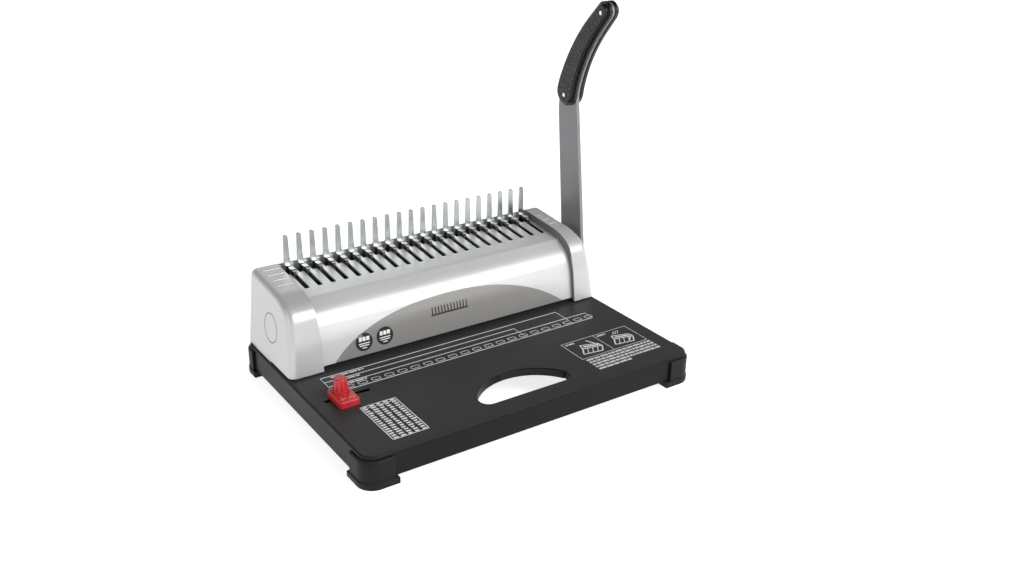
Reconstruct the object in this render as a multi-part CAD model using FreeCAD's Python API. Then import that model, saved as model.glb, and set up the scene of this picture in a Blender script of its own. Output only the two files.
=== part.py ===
import FreeCAD, Part
import math
import os

# Comb binding machine: punches 21 rectangular holes along a sheet's edge, and opens a
# plastic comb on a row of prongs.  Millimetres, X to the right, Y to the back, Z up.
# Places are worked out from the middle of the base, and every piece is moved at the end
# so that the origin lies on the floor at the middle of the whole machine's box.

# ---------------------------------------------------------------- driving dimensions
# Row of holes and prongs
hole_count = 21
hole_pitch = 14.2875            # 9/16 in, the standard for plastic combs
row_margin = 8.625              # from the last hole's middle to the end of the throat
throat_half = (hole_count - 1) / 2 * hole_pitch + row_margin

# End caps, which set how wide the machine is
cap_foot_left = 34.725
cap_foot_right = 28.275
cap_set_in = 2.0                # the left cap stands this far in from the base's edge
end_taper = 0.10                # how fast the end faces lean inwards as they rise
cap_wall = 2.2
cap_edge_r = 7.0
cap_collar = 2.0
cap_post_r = 3.6
cap_post_height = 24.0
cap_post_bore = 18.0
cap_web = 9.0                   # how far the rib beside a screw post reaches

# Plug that closes the shaft's hole in the left cap, and the ring that backs it
plug_r = 14.5
plug_hole_r = 14.9
plug_ring_inner_r = 13.2
plug_ring_outer_r = 16.6

# Base pan
base_width = 2 * throat_half + cap_foot_left + cap_set_in + cap_foot_right
base_depth = 262.6
base_top = 32.3
skirt_bottom = 7.7
base_sheet = 1.2
base_corner_r = 13.0
base_edge_r = 2.2

# Corner guards
guard_length = 27.0
guard_length_side = 20.0         # the rear guards reach less far along the sides
guard_proud = 2.4
guard_below_top = 4.3
foot_flange = 6.4
foot_extra = 0.8
foot_length = 31.0
guard_edge_r = 1.6
foot_edge_r = 1.4
guard_post_in = 15.0            # from the base's sides to a guard's screw post
guard_post_r = 5.0
counterbore_r = 3.6
counterbore_depth = 5.0
guard_clearance = 0.05
guard_screw_length = 14.9

# Carry hole in the base
carry_x = 0.8
carry_front = 21.1 - base_depth / 2
carry_back = carry_front + 43.6
carry_width = 102.4
carry_bow_r = 59.0
carry_end_r = 9.5
carry_shoulder_r = 6.0
carry_rim = 8.2

# Housing: depths are counted forwards from its back, heights up from the base's top
housing_back = base_depth / 2 + 0.1
cap_front = housing_back - 106.4
cap_lean = 0.13                 # how fast the front leans back as it rises
cap_knee = base_top + 33.7
cap_shoulder = (housing_back - 93.4, base_top + 64.7)
cap_fold = (housing_back - 69.4, base_top + 73.3)
cap_slope = 0.0865
cap_shadow_gap = 1.5
shadow_gap_back = housing_back - 58.8
cover_sheet = 1.5
cover_bottom = base_top + 4.3
cover_front = housing_back - 101.1
cover_lean = 0.14
cover_knee = base_top + 31.7
cover_shoulder = (housing_back - 89.9, base_top + 53.7)
cover_fold = (housing_back - 71.4, base_top + 64.7)
cover_back = housing_back - 4.4
cover_slope = 0.091
cover_lap = 5.0                 # how far the cover runs under each end cap
ridge_front = housing_back - 6.2
ridge_top = base_top + 76.7

# Openings in the cover for prongs and hooks
slot_offset = 2.7
slot_width = 5.4
window_width = 9.4
window_front = housing_back - 18.4
window_back = housing_back - 7.1

# Prongs and the rail that holds them
prong_y = housing_back - 10.4
prong_thick = 1.8
prong_tip = base_top + 108.7
prong_shoulder = base_top + 70.7
prong_root_width = 7.0
prong_tip_width = 4.6
prong_shank_width = 8.0
prong_shank = 20.0
rail_thick = 4.0
rail_top = base_top + 65.7
rail_height = 16.0

# Side frames
frame_gap = 0.5                 # from the throat's end to the inner face of a frame
frame_thick = 2.5
frame_top = base_top + 57.7
frame_foot = 12.0
frame_inside_cover = 1.8

# Main shaft
shaft_y = housing_back - 56.4
shaft_z = base_top + 35.7
shaft_r = 6.0
bush_wall = 3.0
running_gap = 0.05              # radial clearance of a shaft in a bush

# Lever
lever_gap = 3.5                 # from the base's side to the lever
lever_thick = 4.0
lever_root_width = 37.0
lever_neck_width = 32.4
lever_lean = 6.45               # degrees that the lever leans back at rest
lever_straight = 163.0          # from the shaft to where the bar starts to bend
neck_bend_r = 75.0
neck_bend = 24.5
grip_bend_r = 190.0
grip_bend = 24.0
lever_tip_run = 21.5
lever_tip_width = 18.0
grip_rim = 3.4
grip_raise = 3.6
grip_over = 1.2
grip_step = 2.6
pull_angle = 75.0               # degrees from rest to a full punch
push_angle = 60.0               # degrees from rest to a full opening of the comb

# Punching
punch_y = housing_back - 81.4
punch_width = 8.0
punch_depth = 3.0
punch_gap = 0.15
throat_height = 4.3
guide_thick = 6.0
guide_half_depth = 8.0
beam_drop = 10.0                # from the shaft's axis to the top of the beam
beam_thick = 4.5
punch_stroke = 9.5
cam_gap = 0.3
cam_thick = 8.0
cam_inset = 34.0                # from the throat's end to a cam's middle
die_thick = 6.2
die_half_depth = 6.0
stop_gap = 3.0                  # from the back of a hole to the sheet's edge

# Comb opening
crank_r = 27.5
crank_thick = 2.5
crank_pin_r = 3.0
crank_hub_r = 8.6
crank_eye_r = 5.0
arm_thick = 2.5
arm_slack = 0.4
side_gap = 0.7
hook_plate_thick = 2.0
hook_stem_width = 2.5
hook_stem_depth = 8.0
hook_head_width = 5.2
hook_head_length = 7.6
hook_head_bottom = base_top + 73.1
hook_head_thick = 1.7

# Edge guide
paper_margin = 5.65             # from an A4 sheet's edge to the first hole's middle
guide_width = 20.6
guide_length = 30.5
guide_height = 6.6
stud_y = cap_front - 50.5
stud_r = 2.0
guide_slot_width = 4.6
guide_reach_left = 12.0         # how far the guide slides each way from rest
guide_reach_right = 25.0
guide_tongue = 9.0              # length of the tongue that runs in the slot
slot_end_gap = 0.45
knob_height = 13.4
knob_foot_r = 7.1
knob_top_r = 5.9
knob_skirt_r = 7.9
knob_skirt = 1.8
knob_crown_r = 1.6
flute_count = 10
flute_r = 1.2
boss_r = 8.8
boss_height = 0.9

# Chip tray
tray_inset = 8.5                # from the throat's end to the tray's outside
tray_front = punch_y - 15.0
tray_wall = 1.6
tray_floor = 9.6
tray_rim = 23.4
slide_gap = 0.35

# ---------------------------------------------------------------- worked-out sizes
half_w = base_width / 2
half_d = base_depth / 2
row_x = (cap_foot_left + cap_set_in - cap_foot_right) / 2
left_end = cap_set_in - half_w
right_end = half_w
under_sheet = base_top - base_sheet
guard_top = base_top - guard_below_top
hole_xs = [row_x + (i - (hole_count - 1) / 2) * hole_pitch for i in range(hole_count)]
frame_half = throat_half + frame_gap
bush_r = shaft_r + bush_wall
hook_travel = 2 * crank_r * math.sin(math.radians(push_angle / 2))
guide_bottom = base_top + throat_height
guide_top = guide_bottom + guide_thick
stop_y = punch_y + punch_depth / 2 + stop_gap
lever_x = half_w + lever_gap
lever_outer = lever_x + lever_thick
grip_outer = lever_outer + grip_rim + grip_raise
origin_x = (grip_outer - (half_w + guard_proud + foot_extra)) / 2

# Edge guide, which stops the sheet's left edge one margin from the first hole
guide_right = hole_xs[0] - paper_margin
guide_left = guide_right - guide_width
stud_x = (guide_left + guide_right) / 2

# Screws through the base: (x, y) of those into the end caps and into the frames' feet
tapped_r = 1.45
screw_hole_r = 1.5
cap_screw_places = [(x, y) for x in (left_end + 11.0, right_end - 11.0)
                    for y in (cap_front + 21.0, housing_back - 34.0)]
frame_back = cover_back - 0.6
foot_front = stop_y + 8.0
frame_screw_places = [(row_x + side * (frame_half - frame_foot / 2), y) for side in (-1, 1)
                      for y in (foot_front + 7.0, frame_back - 8.0)]


# ---------------------------------------------------------------- shape helpers
def box(x0, x1, y0, y1, z0, z1):
    return Part.makeBox(x1 - x0, y1 - y0, z1 - z0, FreeCAD.Vector(x0, y0, z0))


def rod_x(y, z, r, x0, x1):
    return Part.makeCylinder(r, x1 - x0, FreeCAD.Vector(x0, y, z), FreeCAD.Vector(1, 0, 0))


def rod_y(x, z, r, y0, y1):
    return Part.makeCylinder(r, y1 - y0, FreeCAD.Vector(x, y0, z), FreeCAD.Vector(0, 1, 0))


def rod_z(x, y, r, z0, z1):
    return Part.makeCylinder(r, z1 - z0, FreeCAD.Vector(x, y, z0), FreeCAD.Vector(0, 0, 1))


def across(side, start, end):
    """X range between two distances from the row's middle, on one side of it."""
    return sorted((row_x + side * start, row_x + side * end))


def joined(*solids):
    whole = solids[0].multiFuse(list(solids[1:])) if len(solids) > 1 else solids[0]
    return whole.removeSplitter()


def in_yz(x):
    return lambda u, v: FreeCAD.Vector(x, u, v)


def in_xz(y):
    return lambda u, v: FreeCAD.Vector(u, y, v)


def in_xy(z):
    return lambda u, v: FreeCAD.Vector(u, v, z)


def step(a, b):
    """Unit direction from corner a to corner b."""
    run = math.hypot(b[0] - a[0], b[1] - a[1])
    return ((b[0] - a[0]) / run, (b[1] - a[1]) / run)


def rounded_face(corners, place):
    """Face inside corners (u, v, radius), each corner rounded by an arc."""
    ends = []
    for i, (u, v, r) in enumerate(corners):
        to_last = step((u, v), corners[i - 1])
        to_next = step((u, v), corners[(i + 1) % len(corners)])
        if r <= 0:
            ends.append(((u, v), (u, v), (u, v)))
            continue
        cosine = to_last[0] * to_next[0] + to_last[1] * to_next[1]
        half = math.acos(max(-1.0, min(1.0, cosine))) / 2
        reach = r / math.tan(half)
        middle = (to_last[0] + to_next[0], to_last[1] + to_next[1])
        size = math.hypot(*middle)
        depth = r / math.sin(half) - r
        ends.append((
            (u + to_last[0] * reach, v + to_last[1] * reach),
            (u + middle[0] / size * depth, v + middle[1] / size * depth),
            (u + to_next[0] * reach, v + to_next[1] * reach)))
    edges = []
    for i, (start, mid, end) in enumerate(ends):
        last = ends[i - 1][2]
        if math.hypot(start[0] - last[0], start[1] - last[1]) > 1e-6:
            edges.append(Part.LineSegment(place(*last), place(*start)).toShape())
        if start != end:
            edges.append(Part.Arc(place(*start), place(*mid), place(*end)).toShape())
    return Part.Face(Part.Wire(edges))


def inset(corners, gap):
    """The outline moved inwards by gap.  Corners run counter-clockwise."""
    moved = []
    for i, (u, v, r) in enumerate(corners):
        a = step(corners[i - 1], (u, v))
        b = step((u, v), corners[(i + 1) % len(corners)])
        share = gap / (1 + a[0] * b[0] + a[1] * b[1])
        hollow = a[0] * b[1] - a[1] * b[0] < 0
        radius = r + gap if hollow else r - gap
        moved.append((u - (a[1] + b[1]) * share, v + (a[0] + b[0]) * share,
                      max(radius, 0.0) if r > 0 else 0.0))
    return moved


def bar_x(corners, x0, x1):
    """Prism along X of an outline in Y and Z."""
    return rounded_face(corners, in_yz(x0)).extrude(FreeCAD.Vector(x1 - x0, 0, 0))


def slab_z(corners, z0, z1):
    """Prism along Z of an outline in X and Y."""
    return rounded_face(corners, in_xy(z0)).extrude(FreeCAD.Vector(0, 0, z1 - z0))


def rectangle(u0, u1, v0, v1, r=0.0):
    return [(u0, v0, r), (u1, v0, r), (u1, v1, r), (u0, v1, r)]


def turned(shape, degrees):
    """The shape turned about the main shaft."""
    copy = shape.copy()
    copy.rotate(FreeCAD.Vector(0, shaft_y, shaft_z), FreeCAD.Vector(1, 0, 0), degrees)
    return copy


def screw_down(x, y, seat, length, thread_r=1.5):
    """Pan-head screw seen from above: its head sits on seat."""
    return joined(rod_z(x, y, thread_r, seat - length, seat + 0.2),
                  rod_z(x, y, thread_r * 1.9, seat, seat + thread_r * 1.1))


def screw_up(x, y, seat, length, thread_r=1.5):
    """Pan-head screw driven upwards: its head hangs below seat."""
    return joined(rod_z(x, y, thread_r, seat - 0.2, seat + length),
                  rod_z(x, y, thread_r * 1.9, seat - thread_r * 1.1, seat))


os.makedirs("parts", exist_ok=True)


def save(name, *solids):
    """Write one node; several solids make a group."""
    shape = solids[0] if len(solids) == 1 else Part.makeCompound(list(solids))
    shape = shape.copy()
    shape.translate(FreeCAD.Vector(-origin_x, 0, 0))
    for solid in shape.Solids:
        if not solid.isValid() or solid.Volume <= 0:
            raise ValueError("bad solid in " + name)
    shape.exportStep(os.path.join("parts", name + ".step"))
    print(name, len(shape.Solids), round(shape.Volume))


# ---------------------------------------------------------------- base pan
def base_outline(grow):
    return rectangle(-half_w - grow, half_w + grow, -half_d - grow, half_d + grow,
                     base_corner_r + grow)


def pan_block(grow, z0, z1, edge_r):
    """Block with the pan's outline and a rounded top edge."""
    block = slab_z(base_outline(grow), z0, z1)
    rim = [e for e in block.Edges if e.BoundBox.ZMin > z1 - 0.01]
    return block.makeFillet(edge_r, rim)


def carry_block(grow, z0, z1):
    """Hand hole: a long flat front edge, a back bowed in one arc and round ends."""
    half = carry_width / 2 + grow
    block = slab_z(rectangle(carry_x - half, carry_x + half, carry_front - grow, carry_back + 20,
                             carry_end_r + grow), z0, z1)
    block = block.common(rod_z(carry_x, carry_back - carry_bow_r, carry_bow_r + grow, z0, z1))
    shoulders = [e for e in block.Edges if e.BoundBox.ZLength > z1 - z0 - 0.01
                 and e.BoundBox.YMin > carry_front + carry_end_r + 1]
    return block.makeFillet(carry_shoulder_r + grow, shoulders)


land_gap = 0.3
window_half = frame_half - 1.6
tray_half = throat_half - tray_inset
tray_door_half = tray_half + 6.5
slot_left = stud_x - guide_tongue / 2 - guide_reach_left - slot_end_gap
slot_right = stud_x + guide_tongue / 2 + guide_reach_right + slot_end_gap

pan = pan_block(0, skirt_bottom, base_top, base_edge_r)
pan = pan.cut(pan_block(-base_sheet, skirt_bottom - 5, under_sheet, base_edge_r - base_sheet))
pan = pan.fuse(carry_block(base_sheet, base_top - carry_rim, base_top))
pan = pan.cut(carry_block(0, 0, base_top + 1))
pan = pan.cut(box(row_x - window_half, row_x + window_half, punch_y - die_half_depth - land_gap,
                  punch_y + die_half_depth + land_gap, under_sheet - 5, base_top + 1))
pan = pan.cut(slab_z(rectangle(slot_left, slot_right, stud_y - guide_slot_width / 2,
                               stud_y + guide_slot_width / 2, guide_slot_width * 0.49),
                     under_sheet - 5, base_top + 1))
pan = pan.cut(box(row_x - tray_door_half, row_x + tray_door_half, half_d - 6, half_d + 1,
                  0, tray_rim + 2.0))
for x, y in cap_screw_places + frame_screw_places:
    pan = pan.cut(rod_z(x, y, screw_hole_r, under_sheet - 1, base_top + 1))
save("base_pan", pan.removeSplitter())

# ---------------------------------------------------------------- corner guards
guard_sides = {"front_left": (-1, -1), "front_right": (1, -1),
               "rear_left": (-1, 1), "rear_right": (1, 1)}
foot_screws = []
for place, (sx, sy) in guard_sides.items():
    reach = half_w + guard_proud + 5

    shorter = guard_length - guard_length_side if sy > 0 else 0.0

    def corner(length, z0, z1):
        xs = sorted((sx * (half_w - length), sx * reach))
        ys = sorted((sy * (half_d - length + shorter), sy * (half_d + guard_proud + 5)))
        return box(xs[0], xs[1], ys[0], ys[1], z0, z1)

    wrap = slab_z(base_outline(guard_proud), foot_flange, guard_top)
    rim = [e for e in wrap.Edges if e.BoundBox.ZMin > guard_top - 0.01]
    wrap = wrap.makeFillet(guard_edge_r, rim)
    wrap = wrap.cut(slab_z(base_outline(guard_clearance), 0, guard_top + 1))
    wrap = wrap.common(corner(guard_length, 0, guard_top + 1))
    foot = slab_z(base_outline(guard_proud + foot_extra), 0, foot_flange)
    low = [e for e in foot.Edges if e.BoundBox.ZMax < 0.01]
    foot = foot.makeFillet(foot_edge_r, low).common(corner(foot_length, 0, foot_flange))
    ledge = slab_z(base_outline(-guard_clearance), foot_flange - 1, skirt_bottom)
    ledge = ledge.common(corner(guard_length, 0, skirt_bottom))
    post_x = sx * (half_w - guard_post_in)
    post_y = sy * (half_d - guard_post_in)
    post = rod_z(post_x, post_y, guard_post_r, skirt_bottom - 1, under_sheet)
    bore = rod_z(post_x, post_y, counterbore_r, -1, counterbore_depth)
    bore = bore.fuse(rod_z(post_x, post_y, screw_hole_r, -1, guard_screw_length + counterbore_depth + 0.1))
    save("corner_guard_" + place, joined(wrap, foot, ledge, post).cut(bore))
    foot_screws.append(screw_up(post_x, post_y, counterbore_depth, guard_screw_length, tapped_r))
save("guard_screws", *foot_screws)


# ---------------------------------------------------------------- housing outlines
def cap_top(y):
    return cap_fold[1] + (y - cap_fold[0]) * cap_slope


def cover_top(y):
    return cover_fold[1] + (y - cover_fold[0]) * cover_slope


def cap_outline(bottom):
    """Side view of an end cap, counter-clockwise from its front foot."""
    return [(cap_front + (bottom - base_top) * cap_lean, bottom, 0), (housing_back, bottom, 0),
            (housing_back, cap_top(housing_back), 8.0), (*cap_fold, 60.0), (*cap_shoulder, 24.0),
            (cap_front + (cap_knee - base_top) * cap_lean, cap_knee, 70.0)]


def cover_outline(bottom, back):
    """Side view of the centre cover, counter-clockwise from its front foot."""
    return [(cover_front + (bottom - cover_bottom) * cover_lean, bottom, 0), (back, bottom, 0),
            (back, cover_top(back), 0), (*cover_fold, 5.0), (*cover_shoulder, 30.0),
            (cover_front + (cover_knee - cover_bottom) * cover_lean, cover_knee, 50.0)]


def cap_block(side, skin, bottom):
    """Solid end of the housing, skin inside its outer surface."""
    inner = row_x + side * throat_half
    foot = left_end if side < 0 else right_end
    outline = inset(cap_outline(bottom), skin) if skin else cap_outline(bottom)
    x0, x1 = sorted((inner - side * 5, foot + side * 5))
    block = bar_x(outline, x0, x1)
    lean = math.degrees(math.atan(end_taper))
    edge = foot - side * skin * math.hypot(1, end_taper)
    blade = box(*sorted((0, side * 40)), cap_front - 50, housing_back + 50, -60, 200)
    blade.rotate(FreeCAD.Vector(0, 0, 0), FreeCAD.Vector(0, 1, 0), -side * lean)
    blade.translate(FreeCAD.Vector(edge, 0, base_top))
    block = block.cut(blade)
    rim = []
    for e in block.Edges:
        middle = e.valueAt((e.FirstParameter + e.LastParameter) / 2)
        at_plane = abs(middle.x - (edge - side * end_taper * (middle.z - base_top))) < 0.05
        if at_plane and middle.z > bottom + 1 + skin:
            rim.append(e)
    block = block.makeFillet(max(cap_edge_r - skin, 1.0), rim)
    x0, x1 = sorted((inner, inner + side * 80))
    return block.common(box(x0, x1, cap_front - 50, housing_back + 50, -60, 250))


# the left cap carries four raised ribs, the right cap four grooves in the same places
ribs_y = [housing_back - 50.9 + 11.5 * i for i in range(4)]
rib_start = 2.6
rib_end = {"left_end_cap": 19.6, "right_end_cap": 14.0}
rib_r = 0.9
rib_sink = 0.1
for name, side in (("left_end_cap", -1), ("right_end_cap", 1)):
    inner = row_x + side * throat_half
    outer = cap_block(side, 0, base_top)
    cavity = cap_block(side, cap_wall, base_top - 20)
    shell = outer.cut(cavity)
    # the step wall from the cap's skin down to the centre cover
    x0, x1 = sorted((inner, inner + side * cap_collar))
    collar = outer.common(box(x0, x1, cap_front - 5, housing_back + 5, 0, 250))
    collar = collar.cut(bar_x(inset(cover_outline(base_top - 20, cover_back), -0.2), x0 - 1, x1 + 1))
    shell = shell.fuse(collar)
    shell = shell.cut(box(-half_w, half_w, cap_front - 5, shadow_gap_back, 0, base_top + cap_shadow_gap))
    for y in ribs_y:
        x0, x1 = sorted((inner + side * rib_start, inner + side * rib_end[name]))
        if side < 0:
            shell = shell.fuse(rod_x(y, cap_top(y) - rib_sink, rib_r, x0, x1))
        else:
            shell = shell.cut(rod_x(y, cap_top(y) + rib_sink, rib_r, x0, x1))
    for post_x, y in cap_screw_places:
        if (post_x - row_x) * side < 0:
            continue
        post = rod_z(post_x, y, cap_post_r, base_top, base_top + cap_post_height)
        web = box(*sorted((post_x, post_x + side * cap_web)), y - 1, y + 1,
                  base_top + 2, base_top + cap_post_height)
        shell = shell.fuse(post.fuse(web).common(outer))
        shell = shell.cut(rod_z(post_x, y, screw_hole_r, base_top - 1, base_top + cap_post_bore))
    if side < 0:
        plug = shell.common(rod_x(shaft_y, shaft_z, plug_r, left_end - 5, left_end + 12))
        shell = shell.cut(rod_x(shaft_y, shaft_z, plug_hole_r, left_end - 5, left_end + 12))
        ring = rod_x(shaft_y, shaft_z, plug_ring_outer_r, left_end + 3, left_end + 9)
        ring = ring.cut(rod_x(shaft_y, shaft_z, plug_ring_inner_r, left_end, left_end + 20))
        backing = ring.common(cavity)
        shell = shell.fuse(backing.cut(rod_x(shaft_y, shaft_z, plug_hole_r, left_end - 5, left_end + 5.2)))
        save("shaft_plug", plug)
    else:
        shell = shell.cut(rod_x(shaft_y, shaft_z, shaft_r + 4, right_end - 12, right_end + 5))
    save(name, shell.removeSplitter())
save("cap_screws", *[screw_up(x, y, under_sheet, base_sheet + 12, tapped_r) for x, y in cap_screw_places])

# ---------------------------------------------------------------- centre cover
cover_half = throat_half + cover_lap
cover_x0 = row_x - cover_half
cover_x1 = row_x + cover_half
cover_core = inset(cover_outline(cover_bottom - 20, cover_back + 20), cover_sheet)
slot_front = prong_y - 5.2 - hook_stem_depth - hook_travel - 1.0

cover = bar_x(cover_outline(cover_bottom, cover_back), cover_x0, cover_x1)
cover = cover.cut(bar_x(cover_core, cover_x0 - 1, cover_x1 + 1))
openings = []
for x in hole_xs:
    slot_x = x + slot_offset
    openings.append(slab_z(rectangle(slot_x - slot_width / 2, slot_x + slot_width / 2,
                                     slot_front, window_front + 2, 1.2),
                           cover_fold[1] - 10, ridge_top))
    openings.append(box(x - window_width / 2, x + window_width / 2, window_front, window_back,
                        cover_fold[1] - 10, ridge_top))
save("centre_cover", cover.cut(openings))

# Arch-shaped plaque laid on the cover's front
plaque_proud = 0.45
plaque_lift = 0.4
arch_left = hole_xs[0] + 6.2
arch_right = hole_xs[-1] - 5.3
arch_rise = 40.2
arch_shape = [(0.0, 0.0), (0.107, 0.545), (0.21, 0.80), (0.41, 0.99), (0.53, 1.0), (0.78, 0.755), (1.0, 0.0)]

arch_points = []
for along, up in arch_shape:
    arch_points.append(FreeCAD.Vector(arch_left + along * (arch_right - arch_left),
                                      cover_front - 10, cover_bottom + plaque_lift + up * arch_rise))
arch_curve = Part.BSplineCurve()
arch_curve.interpolate(arch_points)
arch_wire = Part.Wire([arch_curve.toShape(),
                       Part.LineSegment(arch_points[-1], arch_points[0]).toShape()])
arch_prism = Part.Face(arch_wire).extrude(FreeCAD.Vector(0, cover_fold[0] - cover_front + 10, 0))
cover_solid = bar_x(cover_outline(cover_bottom - 5, cover_back), arch_left - 5, arch_right + 5)
plaque = bar_x(inset(cover_outline(cover_bottom - 5, cover_back), -plaque_proud),
               arch_left - 5, arch_right + 5)
save("arch_plaque", plaque.cut(cover_solid).common(arch_prism))

# ---------------------------------------------------------------- rear cover
rear_half = throat_half - 0.2
rear_x0 = row_x - rear_half
rear_x1 = row_x + rear_half


def rear_outline(bottom):
    return [(ridge_front, bottom, 0), (housing_back, bottom, 0),
            (housing_back, ridge_top, 4.0), (ridge_front, ridge_top, 2.2)]


rear = bar_x(rear_outline(base_top), rear_x0, rear_x1)
rear = rear.cut(bar_x(inset(rear_outline(base_top - 20), cover_sheet), rear_x0 - 1, rear_x1 + 1))
lip_bottom = cover_top(cover_back) + 0.2
rear = rear.cut(box(rear_x0 - 1, rear_x1 + 1, ridge_front - 1, ridge_front + cover_sheet + 0.5,
                    base_top - 1, lip_bottom))
rear_screw_xs = [row_x + share * rear_half for share in (-0.9, -0.3, 0.3, 0.9)]
rear_screw_z = rail_top - rail_height / 2
rear_screws = []
for x in rear_screw_xs:
    rear = rear.cut(rod_y(x, rear_screw_z, 1.7, housing_back - 3, housing_back + 1))
    spacer = rod_y(x, rear_screw_z, cap_post_r, prong_y + prong_thick / 2 + rail_thick,
                   housing_back - cover_sheet)
    rear = rear.fuse(spacer)
    rear = rear.cut(rod_y(x, rear_screw_z, screw_hole_r, prong_y, housing_back))
    shank = rod_y(x, rear_screw_z, tapped_r, prong_y + prong_thick / 2 + rail_thick + 0.1, housing_back)
    head = rod_y(x, rear_screw_z, 2.9, housing_back, housing_back + 1.5)
    rear_screws.append(joined(shank, head))
save("rear_cover", rear.removeSplitter())
save("rear_screws", *rear_screws)

# ---------------------------------------------------------------- prongs and their rail
prongs = []
for x in hole_xs:
    shank_bottom = prong_shoulder - prong_shank
    face = rounded_face([
        (x - prong_shank_width / 2, shank_bottom, 0.6), (x + prong_shank_width / 2, shank_bottom, 0.6),
        (x + prong_shank_width / 2, prong_shoulder - 3, 1.0), (x + prong_root_width / 2, prong_shoulder, 1.0),
        (x + prong_tip_width / 2, prong_tip, 2.0), (x - prong_tip_width / 2, prong_tip, 2.0),
        (x - prong_root_width / 2, prong_shoulder, 1.0), (x - prong_shank_width / 2, prong_shoulder - 3, 1.0),
    ], in_xz(prong_y - prong_thick / 2))
    prongs.append(face.extrude(FreeCAD.Vector(0, prong_thick, 0)))
save("prongs", *prongs)
rail_front = prong_y + prong_thick / 2
save("prong_rail", box(row_x - frame_half, row_x + frame_half, rail_front, rail_front + rail_thick,
                       rail_top - rail_height, rail_top))

# ---------------------------------------------------------------- side frames
beam_top = shaft_z - beam_drop
beam_bottom = beam_top - beam_thick
tenon_front = punch_y - 2.0
tenon_back = tenon_front + 14.0
ear_front = prong_y - prong_thick / 2 - 0.9
frame_front = cover_front + cover_sheet + frame_inside_cover + 2.9
frame_outline = [
    (frame_front, base_top, 0), (frame_back, base_top, 0), (frame_back, rail_top - 0.5, 2.0),
    (ear_front, rail_top - 0.5, 1.0), (ear_front, frame_top, 1.0),
    (cover_shoulder[0] + 12.5, frame_top, 8.0), (frame_front + 3.5, cover_knee + 8.0, 10.0)]
for name, side in (("left", -1), ("right", 1)):
    inner = row_x + side * frame_half
    x0, x1 = sorted((inner, inner + side * frame_thick))
    plate = bar_x(frame_outline, x0, x1)
    foot_x = sorted((inner + side * frame_thick, inner - side * frame_foot))
    foot = box(*foot_x, foot_front, frame_back - 0.4, base_top, base_top + frame_thick)
    plate = plate.fuse(foot)
    plate = plate.cut(rod_x(shaft_y, shaft_z, bush_r, x0 - 1, x1 + 1))
    plate = plate.cut(box(x0 - 1, x1 + 1, tenon_front - slide_gap, tenon_back + slide_gap,
                          beam_bottom - punch_stroke - 0.5, beam_top + slide_gap))
    for x, y in frame_screw_places:
        plate = plate.cut(rod_z(x, y, screw_hole_r, base_top - 1, base_top + frame_thick + 1))
    save(name + "_side_frame", plate.removeSplitter())

    # flanged nylon bush pressed into the frame
    barrel = rod_x(shaft_y, shaft_z, bush_r, x0, x1)
    flange = rod_x(shaft_y, shaft_z, bush_r + 2.5, *sorted((inner, inner - side * 1.5)))
    bush = joined(barrel, flange).cut(rod_x(shaft_y, shaft_z, shaft_r + running_gap, x0 - 9, x1 + 9))
    save("shaft_bush_" + name, bush)

    # nylon strip on top of the frame, on which the hook plate slides
    strip_x = sorted((inner - side * 0.5, inner + side * (frame_thick + 0.5)))
    strip = box(*strip_x, cover_shoulder[0] + 21.0, ear_front - 1.3, frame_top - 3,
                frame_top + 2.0 - slide_gap)
    save("slide_strip_" + name, strip.cut(box(x0, x1, 0, housing_back, 0, frame_top)))
save("frame_screws", *[screw_down(x, y, base_top + frame_thick, frame_thick + base_sheet + 3, tapped_r)
                       for x, y in frame_screw_places])
save("front_tie_rod", rod_x(punch_y, frame_top - 10.0, 3.5, row_x - frame_half, row_x + frame_half))

# ---------------------------------------------------------------- die, guide and paper stop
die_half = window_half - land_gap
die = box(row_x - die_half, row_x + die_half, punch_y - die_half_depth, punch_y + die_half_depth,
          under_sheet, base_top)
die_flange_half = tray_half + 4.0
die = die.fuse(box(row_x - die_flange_half, row_x + die_flange_half, punch_y - 14, punch_y + 14,
                   base_top - die_thick, under_sheet))
guide_front_y = punch_y - guide_half_depth
guide_back_y = punch_y + guide_half_depth
guide_chamfer = 2.5
guide = bar_x([(guide_front_y, guide_bottom + guide_chamfer, 0),
               (guide_front_y + guide_chamfer, guide_bottom, 0), (guide_back_y, guide_bottom, 0),
               (guide_back_y, guide_top, 0), (guide_front_y, guide_top, 0)],
              row_x - frame_half, row_x + frame_half)


def punch_bar(x, grow, z0, z1):
    return box(x - punch_width / 2 - grow, x + punch_width / 2 + grow,
               punch_y - punch_depth / 2 - grow, punch_y + punch_depth / 2 + grow, z0, z1)


die_cuts = []
for x in hole_xs:
    die_cuts.append(punch_bar(x, punch_gap, base_top - 10, base_top + 1))
    die_cuts.append(punch_bar(x, 0.8, base_top - 10, base_top - 3))
save("die_plate", die.cut(die_cuts).removeSplitter())
save("punch_guide", guide.cut([punch_bar(x, punch_gap, base_top, guide_top + 1) for x in hole_xs]))
save("paper_stop", box(row_x - frame_half, row_x + frame_half, stop_y, stop_y + 2.4,
                       base_top, guide_bottom))

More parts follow.
